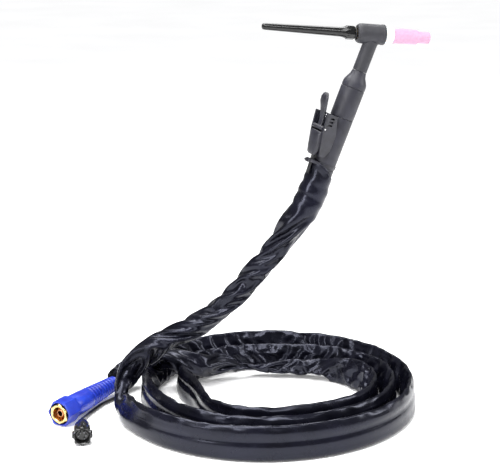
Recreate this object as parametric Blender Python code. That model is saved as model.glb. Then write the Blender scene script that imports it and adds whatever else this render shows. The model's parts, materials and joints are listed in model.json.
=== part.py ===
"""TIG torch with lever switch, covered cable, gas and power connector and control plug.

Metres, +Z up.  The origin is on the handle's axis, where a hand holds it.  The handle leans in
the XZ plane, the nozzle points to +X and the cable's coil lies below on a horizontal surface.
"""
import math

import bmesh
import bpy
from mathutils import Vector

# ---- posture -------------------------------------------------------------------------------
LEAN = math.radians(21.0)          # handle axis from the vertical, head towards +X
HEAD_DROOP = math.radians(5.0)     # head axis below the horizontal on the nozzle side
SWITCH_ROLL = math.radians(22.0)   # switch turned about the handle towards -Y
FLOOR_Z = -0.382                   # surface that the coil lies on

# ---- fits ----------------------------------------------------------------------------------
GAP = 0.0003                       # between pieces that touch
RUN = 0.0003                       # radial clearance of what turns or slides
ROUND = 28                         # sides of a large round piece
SMALL = 16                         # sides of a small one

# ---- head, along its own axis: 0 at the barrel's middle, + towards the nozzle -----------------
HEAD_REACH = 0.1072                # grip centre to the point where handle and head axes meet
HEAD_SHIFT = 0.0045                # barrel's middle lies this far back from that point
HEAD_R = 0.0123
HEAD_LENGTH = 0.0360
HEAD_BORE_R = 0.0082
CORE_BORE_R = 0.0058
CORE_LENGTH = 0.0300
GASKET_R = 0.0098
GASKET_LENGTH = 0.0105
NOZZLE_LENGTH = 0.0470
NOZZLE_BODY_LENGTH = 0.0308
NOZZLE_R = 0.0095
NOZZLE_TIP_R = 0.0071
NOZZLE_WALL = 0.0021
COLLET_BODY_R = 0.0052
COLLET_BODY_LENGTH = 0.0460
COLLET_R = 0.0027
COLLET_LENGTH = 0.0500
ELECTRODE_R = 0.0012
ELECTRODE_LENGTH = 0.1500
ELECTRODE_RECESS = 0.0030          # its point stays this far inside the nozzle
ELECTRODE_POINT = 0.0060
CAP_LENGTH = 0.1160
CAP_COLLAR_LENGTH = 0.0120
CAP_COLLAR_R = 0.0083
CAP_ROOT_R = 0.0058
CAP_TIP_R = 0.0041
CAP_WALL = 0.0017
CAP_FLUTES = 9
CAP_STEM_R = 0.0052
CAP_STEM_DEPTH = 0.0090            # brass thread's reach into the core
CAP_GAP = 0.0028                   # thread left showing between cap and head
O_RING_WIRE_R = 0.0009

# ---- neck and handle, along the handle's axis: 0 at the grip centre, + towards the head --------
NECK_R = 0.0090
NECK_BORE_R = 0.0056
TUBE_R = 0.0050
TUBE_BORE_R = 0.0035
HANDLE_R = 0.0150
HANDLE_WALL = 0.0024
NOSE_TOP = 0.0590
NOSE_SHOULDER = 0.0430
FRONT_TOP = 0.0370
REAR_TOP = -0.0020
TAIL_TOP = -0.0680
TAIL_END = -0.1260
FITTING_R = 0.0078
FITTING_LENGTH = 0.0340
FITTING_TOP = 0.0200
CORE_CABLE_R = 0.0065

# ---- switch, in its own frame: x away from the handle's axis, z along the handle ---------------
CLIP_TOP = -0.0020
CLIP_MID = -0.0245                 # open cheeks above, cover below
CLIP_END = -0.0550
CLIP_HALF_WIDTH = 0.0130
CHEEK = 0.0022
BASE_TOP_X = HANDLE_R + 0.0035     # floor of the switch's channel
COVER_X = BASE_TOP_X + 0.0140
PIN_X = BASE_TOP_X + 0.0099
PIN_Z = -0.0212
PIN_R = 0.0012
HUB_R = 0.0030
SWITCH_TOP_X = BASE_TOP_X + 0.0055
PLUNGER_Z = -0.0115
PLUNGER_R = 0.0015
PLUNGER_TOP_X = BASE_TOP_X + 0.0081
SPRING_Z = -0.0055
SPRING_R = 0.0019
SPRING_WIRE_R = 0.0004
SPRING_TURNS = 5
LEAD_R = 0.0022

# ---- cable cover, coil and connectors ------------------------------------------------------
COVER_R = HANDLE_R + 0.0030        # cable cover over the handle's tail
COVER_TOP = -0.0800
CABLE_R = 0.0130                   # covered cable on its way down
COIL_CENTRE = (-0.0798, 0.0243)
COIL_OUTER_R = 0.1860
COIL_INNER_R = 0.1050
COIL_HEIGHT = 0.0480
CONNECTOR_HEAD = (-0.3620, 0.0010)   # hex end's place on the surface
CONNECTOR_AIM = math.radians(230.0)  # way it points, from +X
CONNECTOR_LIFT = 0.0168
BOOT_LENGTH = 0.1120
BOOT_R = 0.0152
BOOT_TAIL_R = 0.0095
BOOT_RIBS = 8
NUT_FLATS = 0.0240
NUT_LENGTH = 0.0200
NUT_BORE_R = 0.0088
NIPPLE_R = 0.0072
NIPPLE_BORE_R = 0.0036
PLUG_FRONT = (-0.3380, -0.0660)
PLUG_AIM = math.radians(265.0)
PLUG_LIFT = 0.0128
PLUG_RING_R = 0.0124
PLUG_RING_LENGTH = 0.0150
PLUG_LOBES = 8
PLUG_BODY_R = 0.0084
PLUG_BODY_LENGTH = 0.0330
PLUG_INSERT_R = 0.0078
PLUG_PINS = 5
PLUG_PIN_CIRCLE_R = 0.0045
PLUG_PIN_R = 0.0008
GLAND_LENGTH = 0.0160
CONTROL_LEAD_R = 0.0024


# ---- frames --------------------------------------------------------------------------------
def empty(name, location, rotation, parent=None):
    """An axis system that pieces are parented to."""
    frame = bpy.data.objects.new(name, None)
    frame.location = location
    frame.rotation_euler = rotation
    frame.parent = parent
    bpy.context.scene.collection.objects.link(frame)
    return frame


def clear_scene():
    for old in list(bpy.data.objects):
        bpy.data.objects.remove(old, do_unlink=True)


# ---- materials -----------------------------------------------------------------------------
FINISHES = {
    "black_rubber": ((0.035, 0.036, 0.042), 0.70, 0.0),
    "black_phenolic": ((0.010, 0.010, 0.011), 0.20, 0.0),
    "black_nylon": ((0.030, 0.031, 0.038), 0.50, 0.0),
    "leatherette": ((0.012, 0.012, 0.018), 0.25, 0.0),
    "white_ptfe": ((0.86, 0.86, 0.84), 0.45, 0.0),
    "pink_alumina": ((0.84, 0.50, 0.70), 0.55, 0.0),
    "brass": ((0.70, 0.52, 0.22), 0.30, 1.0),
    "copper": ((0.72, 0.40, 0.27), 0.32, 1.0),
    "steel": ((0.62, 0.62, 0.63), 0.30, 1.0),
    "tungsten": ((0.35, 0.35, 0.36), 0.40, 1.0),
    "blue_rubber": ((0.03, 0.09, 0.55), 0.45, 0.0),
}


def finish(name):
    """The Principled material of a named finish."""
    found = bpy.data.materials.get(name)
    if found:
        return found
    colour, roughness, metallic = FINISHES[name]
    made = bpy.data.materials.new(name)
    made.use_nodes = True
    shader = made.node_tree.nodes["Principled BSDF"]
    shader.inputs["Base Color"].default_value = (*colour, 1.0)
    shader.inputs["Roughness"].default_value = roughness
    shader.inputs["Metallic"].default_value = metallic
    made.diffuse_color = (*colour, 1.0)
    return made


# ---- solids --------------------------------------------------------------------------------
def solid(name, verts, faces, material, parent, smooth=True):
    """One closed mesh object with its faces turned outwards."""
    mesh = bpy.data.meshes.new(name)
    mesh.from_pydata([tuple(v) for v in verts], [], faces)
    turned_out = bmesh.new()
    turned_out.from_mesh(mesh)
    bmesh.ops.recalc_face_normals(turned_out, faces=turned_out.faces)
    turned_out.to_mesh(mesh)
    turned_out.free()
    made = bpy.data.objects.new(name, mesh)
    made.parent = parent
    if material:
        mesh.materials.append(finish(material))
    if smooth:
        mesh.shade_smooth()
        mesh.set_sharp_from_angle(angle=math.radians(35.0))
    bpy.context.scene.collection.objects.link(made)
    return made


def turned(name, outline, material, parent, sides=ROUND, ripple=None, at=(0.0, 0.0), start=0.0):
    """A solid of revolution about the frame's Z.

    outline is a closed list of (radius, z).  ripple(angle, radius, z) gives a changed radius.  at
    moves the axis in x and y.
    """
    verts = []
    rings = []
    for radius, z in outline:
        if radius <= 0.0:
            rings.append([len(verts)] * sides)
            verts.append((at[0], at[1], z))
            continue
        rings.append(list(range(len(verts), len(verts) + sides)))
        for k in range(sides):
            angle = start + 2.0 * math.pi * k / sides
            reach = ripple(angle, radius, z) if ripple else radius
            verts.append((at[0] + reach * math.cos(angle), at[1] + reach * math.sin(angle), z))
    faces = []
    for i, low in enumerate(rings):
        high = rings[(i + 1) % len(rings)]
        for k in range(sides):
            n = (k + 1) % sides
            corners = [low[k], low[n], high[n], high[k]]
            kept = [c for j, c in enumerate(corners) if c != corners[j - 1]]
            if len(kept) >= 3:
                faces.append(kept)
    return solid(name, verts, faces, material, parent)


def ring_section(inner, outer, low, high, soften=0.0):
    """Outline of a plain ring or tube, with its outer corners softened."""
    if soften <= 0.0:
        return [(outer, low), (outer, high), (inner, high), (inner, low)]
    return [(outer - soften, low), (outer, low + soften), (outer, high - soften),
            (outer - soften, high), (inner, high), (inner, low)]


def lofted(name, sections, material, parent):
    """A solid through closed sections of equal point count, each a list of 3-D points."""
    count = len(sections[0])
    verts = [p for section in sections for p in section]
    faces = [list(reversed(range(count)))]
    for i in range(len(sections) - 1):
        for k in range(count):
            n = (k + 1) % count
            a = i * count
            b = a + count
            faces.append([a + k, a + n, b + n, b + k])
    top = (len(sections) - 1) * count
    faces.append([top + k for k in range(count)])
    return solid(name, verts, faces, material, parent)


def box(name, low, high, material, parent):
    """A plain block between two corners."""
    sections = []
    for z in (low[2], high[2]):
        sections.append([(low[0], low[1], z), (high[0], low[1], z),
                         (high[0], high[1], z), (low[0], high[1], z)])
    made = lofted(name, sections, material, parent)
    made.data.shade_flat()
    return made


def as_cutter(thing):
    thing.hide_render = True
    thing.display_type = "WIRE"
    return thing


def combine(thing, other, operation):
    """Boolean with the EXACT solver; the other object is only a cutter or an addition."""
    step = thing.modifiers.new(operation.lower(), "BOOLEAN")
    step.operation = operation
    step.solver = "EXACT"
    step.object = as_cutter(other)
    return thing


def smooth_route(points, spacing):
    """Evenly spaced points on the Catmull-Rom curve through the given ones."""
    knots = [Vector(p) for p in points]
    knots = [2 * knots[0] - knots[1]] + knots + [2 * knots[-1] - knots[-2]]
    fine = []
    for i in range(1, len(knots) - 2):
        a, b, c, d = knots[i - 1:i + 3]
        for k in range(24):
            t = k / 24.0
            fine.append(0.5 * ((2 * b) + (c - a) * t + (2 * a - 5 * b + 4 * c - d) * t ** 2
                               + (3 * b - a - 3 * c + d) * t ** 3))
    fine.append(knots[-2])
    lengths = [0.0]
    for p, q in zip(fine, fine[1:]):
        lengths.append(lengths[-1] + (q - p).length)
    count = max(2, round(lengths[-1] / spacing))
    placed = []
    j = 0
    for k in range(count + 1):
        want = lengths[-1] * k / count
        while j < len(lengths) - 2 and lengths[j + 1] < want:
            j += 1
        share = (want - lengths[j]) / (lengths[j + 1] - lengths[j])
        placed.append(fine[j].lerp(fine[j + 1], share))
    return placed


def tube(name, points, radius, material, parent=None, resolution=2, spacing=2.5):
    """A round cord solid along a smooth curve through the points."""
    route = smooth_route(points, spacing * 2.0 * radius)
    curve = bpy.data.curves.new(name, "CURVE")
    curve.dimensions = "3D"
    curve.bevel_depth = radius
    curve.bevel_resolution = resolution
    curve.use_fill_caps = True
    spline = curve.splines.new("POLY")
    spline.points.add(len(route) - 1)
    for point, place in zip(spline.points, route):
        point.co = (*place, 1.0)
    curve.materials.append(finish(material))
    made = bpy.data.objects.new(name, curve)
    made.parent = parent
    bpy.context.scene.collection.objects.link(made)
    return made


# ---- head ----------------------------------------------------------------------------------
def half(length):
    return length / 2.0


def build_head_body(head, handle):
    """Moulded rubber barrel and neck in one piece, bored for the core and the neck tube."""
    back = -half(HEAD_LENGTH)
    front = half(HEAD_LENGTH)
    barrel = turned("torch_head_body", [
        (0.0, back), (HEAD_R * 0.62, back), (HEAD_R * 0.84, back + 0.0010),
        (HEAD_R * 0.96, back + 0.0032), (HEAD_R, back + 0.0064),
        (HEAD_R, front - 0.0042), (HEAD_R + 0.0003, front - 0.0038),
        (HEAD_R + 0.0003, front - 0.0010), (HEAD_R - 0.0006, front), (0.0, front),
    ], "black_rubber", head, sides=32)
    neck = turned("neck_blank", [
        (0.0, NOSE_TOP + GAP), (NECK_R, NOSE_TOP + GAP), (NECK_R, HEAD_REACH - HEAD_R),
        (NECK_R + 0.0006, HEAD_REACH - HEAD_R + 0.0030), (0.0, HEAD_REACH - 0.0010),
    ], None, handle, sides=ROUND)
    combine(barrel, neck, "UNION")
    core_bore = turned("core_bore", [
        (0.0, back - 0.0100), (HEAD_BORE_R, back - 0.0100), (HEAD_BORE_R, front + 0.0100),
        (0.0, front + 0.0100),
    ], None, head, sides=ROUND)
    combine(barrel, core_bore, "DIFFERENCE")
    neck_bore = turned("neck_bore", [
        (0.0, NOSE_TOP - 0.0100), (NECK_BORE_R, NOSE_TOP - 0.0100),
        (NECK_BORE_R, HEAD_REACH - 0.0040), (0.0, HEAD_REACH - 0.0040),
    ], None, handle, sides=SMALL)
    return combine(barrel, neck_bore, "DIFFERENCE")


def build_head_core(head):
    """Brass core that carries collet body and cap thread."""
    end = half(CORE_LENGTH)
    return turned("head_core", ring_section(CORE_BORE_R, HEAD_BORE_R - GAP, -end, end),
                  "brass", head, sides=ROUND)


def build_front_end(head):
    """Gasket, collet body, collet, electrode and nozzle."""
    face = half(HEAD_LENGTH)
    seat = face + GAP
    nozzle_back = seat + GASKET_LENGTH + GAP
    nozzle_front = nozzle_back + NOZZLE_LENGTH
    body_back = half(CORE_LENGTH) - 0.0130
    body_front = body_back + COLLET_BODY_LENGTH
    spigot = NOZZLE_R - NOZZLE_WALL - 2.0 * RUN

    turned("cup_gasket", [
        (GASKET_R - 0.0006, seat), (GASKET_R, seat + 0.0006),
        (GASKET_R, seat + GASKET_LENGTH - 0.0006), (GASKET_R - 0.0006, seat + GASKET_LENGTH),
        (spigot, seat + GASKET_LENGTH), (spigot, seat + GASKET_LENGTH + 0.0050),
        (COLLET_BODY_R + GAP, seat + GASKET_LENGTH + 0.0050), (COLLET_BODY_R + GAP, seat),
    ], "white_ptfe", head)

    turned("collet_body", [
        (COLLET_BODY_R, body_back), (COLLET_BODY_R, body_back + 0.0300),
        (COLLET_BODY_R - 0.0012, body_back + 0.0310), (COLLET_BODY_R - 0.0012, body_front - 0.0030),
        (COLLET_BODY_R - 0.0026, body_front), (ELECTRODE_R + 0.0004, body_front),
        (ELECTRODE_R + 0.0004, body_front - 0.0030), (COLLET_R + GAP, body_front - 0.0050),
        (COLLET_R + GAP, body_back),
    ], "copper", head, sides=SMALL + 4)

    collet_front = body_front - 0.0054
    turned("collet", [
        (COLLET_R, collet_front - COLLET_LENGTH), (COLLET_R, collet_front - 0.0020),
        (COLLET_R - 0.0006, collet_front), (ELECTRODE_R + RUN, collet_front),
        (ELECTRODE_R + RUN, collet_front - COLLET_LENGTH),
    ], "copper", head, sides=SMALL)

    point = nozzle_front - ELECTRODE_RECESS
    turned("electrode", [
        (0.0, point - ELECTRODE_LENGTH), (ELECTRODE_R, point - ELECTRODE_LENGTH),
        (ELECTRODE_R, point - ELECTRODE_POINT), (0.0, point),
    ], "tungsten", head, sides=12)

    step = nozzle_back + NOZZLE_BODY_LENGTH
    bore = NOZZLE_R - NOZZLE_WALL
    turned("nozzle", [
        (NOZZLE_R + 0.0002, nozzle_back), (NOZZLE_R + 0.0003, nozzle_back + 0.0012),
        (NOZZLE_R - 0.0001, nozzle_back + 0.0024), (NOZZLE_R - 0.0004, step - 0.0010),
        (NOZZLE_R - 0.0009, step), (NOZZLE_TIP_R + 0.0003, step + 0.0022),
        (NOZZLE_TIP_R, nozzle_front - 0.0006), (NOZZLE_TIP_R - 0.0005, nozzle_front),
        (NOZZLE_TIP_R - NOZZLE_WALL, nozzle_front), (NOZZLE_TIP_R - NOZZLE_WALL, step + 0.0020),
        (bore, step - 0.0040), (bore, nozzle_back),
    ], "pink_alumina", head)


def build_back_cap(head):
    """Long cap with its fluted collar, brass thread and O-ring."""
    face = -half(HEAD_LENGTH)
    collar_front = face - CAP_GAP
    collar_back = collar_front - CAP_COLLAR_LENGTH
    tip = collar_front - CAP_LENGTH
    bore = ELECTRODE_R + 0.0006

    def flutes(angle, radius, z):
        on_collar = collar_back + 0.0010 < z < collar_front - 0.0004 and radius > CAP_ROOT_R
        return radius * (1.0 + 0.055 * math.cos(CAP_FLUTES * angle)) if on_collar else radius

    turned("back_cap", [
        (0.0, tip), (CAP_TIP_R * 0.55, tip + 0.0004), (CAP_TIP_R * 0.90, tip + 0.0016),
        (CAP_TIP_R, tip + 0.0040), (CAP_ROOT_R, collar_back - 0.0060),
        (CAP_ROOT_R + 0.0006, collar_back - 0.0020), (CAP_COLLAR_R - 0.0010, collar_back + 0.0006),
        (CAP_COLLAR_R - 0.0002, collar_back + 0.0020), (CAP_COLLAR_R, collar_front - 0.0008),
        (CAP_COLLAR_R - 0.0010, collar_front), (CAP_STEM_R + GAP, collar_front),
        (CAP_STEM_R + GAP, collar_back), (CAP_ROOT_R - CAP_WALL, collar_back - 0.0010),
        (bore, collar_back - 0.0400), (bore, tip + CAP_WALL * 2.0), (0.0, tip + CAP_WALL * 2.0),
    ], "black_phenolic", head, sides=CAP_FLUTES * 4, ripple=flutes)

    turned("back_cap_insert", [
        (CAP_STEM_R, collar_back + GAP), (CAP_STEM_R, face + CAP_STEM_DEPTH),
        (COLLET_R + 0.0006, face + CAP_STEM_DEPTH), (COLLET_R + 0.0006, collar_back + GAP),
    ], "brass", head, sides=SMALL + 4)

    ring = []
    middle = CAP_STEM_R + GAP + O_RING_WIRE_R
    for k in range(8):
        angle = 2.0 * math.pi * k / 8
        ring.append((middle + O_RING_WIRE_R * math.cos(angle),
                     face - GAP - O_RING_WIRE_R + O_RING_WIRE_R * math.sin(angle)))
    turned("back_cap_o_ring", ring, "black_rubber", head, sides=SMALL + 4)


# ---- handle --------------------------------------------------------------------------------
def build_handle(handle):
    """Neck tube, shells and the power fitting and cable inside them."""
    inner = HANDLE_R - HANDLE_WALL
    web = TUBE_R + GAP
    tube_foot = FITTING_TOP - 0.0100
    turned("neck_tube", ring_section(TUBE_BORE_R, TUBE_R, tube_foot,
                                     HEAD_REACH - HEAD_BORE_R - TUBE_R * math.sin(LEAN - HEAD_DROOP)),
           "copper", handle, sides=SMALL)

    turned("handle_nose", [
        (web, NOSE_TOP - 0.0060), (web, FRONT_TOP + 0.0080), (inner, FRONT_TOP + 0.0040),
        (inner, FRONT_TOP + GAP), (HANDLE_R - 0.0004, FRONT_TOP + GAP),
        (HANDLE_R, FRONT_TOP + 0.0007), (HANDLE_R, NOSE_SHOULDER - 0.0008),
        (HANDLE_R - 0.0006, NOSE_SHOULDER + 0.0022), (HANDLE_R - 0.0026, NOSE_SHOULDER + 0.0062),
        (HANDLE_R - 0.0047, NOSE_SHOULDER + 0.0100), (NECK_R + 0.0003, NOSE_SHOULDER + 0.0140),
        (NECK_R, NOSE_TOP - 0.0002), (NECK_R - 0.0008, NOSE_TOP), (web, NOSE_TOP),
    ], "black_rubber", handle, sides=32)

    def shell(name, low, high):
        turned(name, [
            (HANDLE_R - 0.0004, low + GAP), (HANDLE_R, low + 0.0007), (HANDLE_R, high - 0.0004),
            (HANDLE_R - 0.0004, high), (inner, high), (inner, low + GAP),
        ], "black_rubber", handle, sides=32)

    shell("handle_front", REAR_TOP, FRONT_TOP)
    shell("handle_rear", TAIL_TOP, REAR_TOP)

    hold = CORE_CABLE_R + GAP
    turned("handle_tail", [
        (HANDLE_R - 0.0010, TAIL_END), (HANDLE_R, TAIL_END + 0.0010), (HANDLE_R, TAIL_TOP - 0.0004),
        (HANDLE_R - 0.0004, TAIL_TOP), (inner, TAIL_TOP), (inner, TAIL_END + 0.0120),
        (hold, TAIL_END + 0.0080), (hold, TAIL_END),
    ], "black_rubber", handle, sides=32)

    fitting_foot = FITTING_TOP - FITTING_LENGTH
    turned("cable_fitting", [
        (CORE_CABLE_R + 0.0004, fitting_foot), (FITTING_R - 0.0006, fitting_foot),
        (FITTING_R - 0.0006, tube_foot - 0.0040), (FITTING_R, tube_foot - 0.0030),
        (FITTING_R, FITTING_TOP), (TUBE_R + GAP, FITTING_TOP), (TUBE_R + GAP, tube_foot - GAP),
        (TUBE_BORE_R, tube_foot - GAP), (TUBE_BORE_R, tube_foot - 0.0030),
        (CORE_CABLE_R + 0.0004, tube_foot - 0.0040),
    ], "brass", handle, sides=SMALL + 4)

    turned("power_cable", [
        (0.0, TAIL_END), (CORE_CABLE_R, TAIL_END), (CORE_CABLE_R, tube_foot - 0.0060),
        (0.0, tube_foot - 0.0060),
    ], "black_rubber", handle, sides=SMALL)


# ---- lever switch --------------------------------------------------------------------------
def handle_clearance(name, switch):
    """Cutter that leaves room for the handle."""
    return turned(name, [
        (0.0, CLIP_END - 0.0100), (HANDLE_R + GAP, CLIP_END - 0.0100),
        (HANDLE_R + GAP, CLIP_TOP + 0.0200), (0.0, CLIP_TOP + 0.0200),
    ], None, switch, sides=32)


def build_switch_housing(switch):
    """Saddle on the handle with two cheeks that carry the lever's pin."""
    width = CLIP_HALF_WIDTH
    hug = HANDLE_R - 0.0065
    outline = [(hug, CLIP_MID), (hug, CLIP_END + 0.0100), (HANDLE_R - 0.0010, CLIP_END),
               (BASE_TOP_X + 0.0035, CLIP_END), (BASE_TOP_X + 0.0060, CLIP_END + 0.0080),
               (BASE_TOP_X + 0.0115, CLIP_MID), (BASE_TOP_X + 0.0145, CLIP_TOP),
               (HANDLE_R + 0.0015, CLIP_TOP)]
    sections = [[(x, side * width, z) for x, z in outline] for side in (1.0, -1.0)]
    housing = lofted("switch_housing", sections, "black_nylon", switch)
    housing.data.shade_flat()
    channel = box("channel", (BASE_TOP_X, -width + CHEEK, CLIP_END - 0.0050),
                  (BASE_TOP_X + 0.0300, width - CHEEK, CLIP_TOP + 0.0050), None, switch)
    combine(housing, channel, "DIFFERENCE")
    combine(housing, handle_clearance("handle_room", switch), "DIFFERENCE")
    for k in range(3):
        z = CLIP_MID + 0.0085 + 0.0042 * k
        for side, low_y in (("near", -width - 0.0050), ("far", width - CHEEK - 0.0010)):
            slot = box("cheek_slot_%s_%d" % (side, k + 1), (BASE_TOP_X + 0.0015, low_y, z),
                       (BASE_TOP_X + 0.0079, low_y + CHEEK + 0.0060, z + 0.0022), None, switch)
            combine(housing, slot, "DIFFERENCE")
    pin_hole = across_rod("pin_hole", PIN_R + GAP, width + 0.0050, None, switch)
    return combine(housing, pin_hole, "DIFFERENCE")


def across_rod(name, radius, half_length, material, switch, sides=SMALL):
    """A round rod along the pin's axis, which lies across the switch."""
    sections = []
    for y in (half_length, -half_length):
        sections.append([(PIN_X + radius * math.cos(2.0 * math.pi * k / sides), y,
                          PIN_Z + radius * math.sin(2.0 * math.pi * k / sides))
                         for k in range(sides)])
    return lofted(name, sections, material, switch)


def build_switch_cover(switch):
    """Crowned cover that closes the switch's lower half."""
    half_width = CLIP_HALF_WIDTH - CHEEK - GAP
    stations = [(CLIP_MID - 0.0012, COVER_X, 1.0), (CLIP_MID - 0.0080, COVER_X - 0.0004, 1.0),
                (CLIP_MID - 0.0180, COVER_X - 0.0024, 1.0),
                (CLIP_MID - 0.0250, COVER_X - 0.0040, 0.92),
                (CLIP_END - 0.0010, COVER_X - 0.0059, 0.62)]
    floor_x = BASE_TOP_X + 2.0 * LEAD_R + 3.0 * GAP
    sections = []
    for z, crown, share in stations:
        wide = half_width * share
        section = [(floor_x, -wide, z)]
        for k in range(9):
            angle = math.pi * k / 8
            rise = math.sin(angle) ** 0.7
            edge = max(crown - 0.0046, floor_x + 0.0010)
            x = edge + (crown - edge) * rise
            section.append((x, -wide * math.cos(angle), z))
        section.append((floor_x, wide, z))
        sections.append(section)
    return lofted("switch_cover", sections, "black_nylon", switch)


def build_trigger_lever(switch):
    """Paddle lever with its cross hub on the pin."""
    stations = [(-0.0190, 0.0014, -0.0016, 0.0040), (-0.0120, 0.0019, -0.0014, 0.0042),
                (-0.0040, 0.0038, 0.0000, 0.0046), (0.0040, 0.0068, 0.0024, 0.0058),
                (0.0100, 0.0092, 0.0046, 0.0070), (0.0160, 0.0102, 0.0058, 0.0067),
                (0.0200, 0.0096, 0.0062, 0.0048), (0.0217, 0.0086, 0.0068, 0.0024)]
    sections = []
    count = 14
    for z, outer, inner, wide in stations:
        centre = PIN_X + half(outer + inner)
        thick = half(outer - inner)
        section = []
        for k in range(count):
            angle = 2.0 * math.pi * k / count
            c = math.cos(angle)
            s = math.sin(angle)
            x = centre + thick * math.copysign(abs(c) ** 0.7, c)
            section.append((x, wide * math.copysign(abs(s) ** 0.7, s), z))
        sections.append(section)
    lever = lofted("trigger_lever", sections, "black_nylon", switch)
    hub = across_rod("lever_hub", HUB_R, CLIP_HALF_WIDTH - CHEEK - GAP, None, switch)
    combine(lever, hub, "UNION")
    bore = across_rod("lever_bore", PIN_R + RUN, CLIP_HALF_WIDTH, None, switch)
    return combine(lever, bore, "DIFFERENCE")


def build_switch_inside(switch):
    """Pin, microswitch, plunger, return spring and lead."""
    across_rod("lever_pin", PIN_R, CLIP_HALF_WIDTH + 0.0004, "steel", switch)

    body = box("microswitch", (BASE_TOP_X + GAP, -0.0050, PLUNGER_Z - 0.0062),
               (SWITCH_TOP_X, 0.0050, PLUNGER_Z + 0.0034), "black_nylon", switch)
    well = radial_rod("plunger_well", PLUNGER_R + RUN, BASE_TOP_X + 0.0018, SWITCH_TOP_X + 0.0050,
                      PLUNGER_Z, None, switch)
    combine(body, well, "DIFFERENCE")
    radial_rod("switch_plunger", PLUNGER_R, BASE_TOP_X + 0.0036, PLUNGER_TOP_X, PLUNGER_Z,
               "black_nylon", switch, sides=12)

    low = BASE_TOP_X + GAP + SPRING_WIRE_R
    high = PLUNGER_TOP_X + 0.0010 - SPRING_WIRE_R
    points = []
    steps = SPRING_TURNS * 10
    for k in range(steps + 1):
        turn = 2.0 * math.pi * SPRING_TURNS * k / steps
        points.append((low + (high - low) * k / steps, SPRING_R * math.cos(turn),
                       SPRING_Z + SPRING_R * math.sin(turn)))
    wire("lever_spring", points, SPRING_WIRE_R, "steel", switch)

    start = PLUNGER_Z - 0.0062 - GAP
    tube("switch_lead", [
        (BASE_TOP_X + 0.0026, 0.0, start), (BASE_TOP_X + 0.0026, 0.0, start - 0.0120),
        (BASE_TOP_X + 0.0026, 0.0, CLIP_END + 0.0100), (BASE_TOP_X + 0.0024, 0.0, CLIP_END - 0.0080),
        (BASE_TOP_X + 0.0016, 0.0, COVER_TOP + 0.0060), (BASE_TOP_X + 0.0014, 0.0, COVER_TOP + GAP),
    ], LEAD_R, "black_rubber", switch, spacing=1.5)


def radial_rod(name, radius, low, high, z, material, switch, sides=SMALL):
    """A round rod that stands away from the handle."""
    sections = []
    for x in (low, high):
        sections.append([(x, radius * math.cos(2.0 * math.pi * k / sides),
                          z + radius * math.sin(2.0 * math.pi * k / sides))
                         for k in range(sides)])
    return lofted(name, sections, material, switch)


def wire(name, points, radius, material, parent):
    """A thin bent wire with square-cut ends."""
    curve = bpy.data.curves.new(name, "CURVE")
    curve.dimensions = "3D"
    curve.bevel_depth = radius
    curve.bevel_resolution = 1
    curve.use_fill_caps = True
    spline = curve.splines.new("POLY")
    spline.points.add(len(points) - 1)
    for point, place in zip(spline.points, points):
        point.co = (*place, 1.0)
    curve.materials.append(finish(material))
    made = bpy.data.objects.new(name, curve)
    made.parent = parent
    bpy.context.scene.collection.objects.link(made)
    return made


def build_cable_tie(switch):
    """Tie round the handle and the switch's lead, with its lock and cut end."""
    z = CLIP_END - 0.0105
    width = 0.0036
    band_r = HANDLE_R + GAP
    lead_x = BASE_TOP_X + 0.0022
    reach = lead_x + LEAD_R + GAP

    def outline(extra):
        points = []
        for k in range(30):
            angle = 2.0 * math.pi * k / 30
            bulge = math.exp(-((math.atan2(math.sin(angle), math.cos(angle))) / 0.42) ** 2)
            r = band_r + (reach - band_r) * bulge + extra
            points.append((r * math.cos(angle), r * math.sin(angle)))
        return points

    inner = outline(0.0004)
    outer = outline(0.0016)
    count = len(inner)
    verts = []
    for ring, height in ((inner, z), (outer, z), (outer, z + width), (inner, z + width)):
        verts += [(x, y, height) for x, y in ring]
    faces = []
    for i in range(4):
        for k in range(count):
            n = (k + 1) % count
            a = i * count
            b = ((i + 1) % 4) * count
            faces.append([a + k, a + n, b + n, b + k])
    tie = solid("cable_tie", verts, faces, "black_nylon", switch)
    lock = box("tie_lock", (reach + 0.0008, -0.0030, z - 0.0008),
               (reach + 0.0046, 0.0026, z + width + 0.0008), None, switch)
    tail = box("tie_tail", (reach + 0.0030, -0.0006, z + 0.0004),
               (reach + 0.0086, 0.0006, z + width - 0.0004), None, switch)
    combine(tie, lock, "UNION")
    return combine(tie, tail, "UNION")


# ---- cable cover and coil ------------------------------------------------------------------
def handle_point(along, across=0.0):
    """World place on the handle's axis, moved across it towards the nozzle side."""
    return Vector((along * math.sin(LEAN) + across * math.cos(LEAN), 0.0,
                   along * math.cos(LEAN) - across * math.sin(LEAN)))


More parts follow.
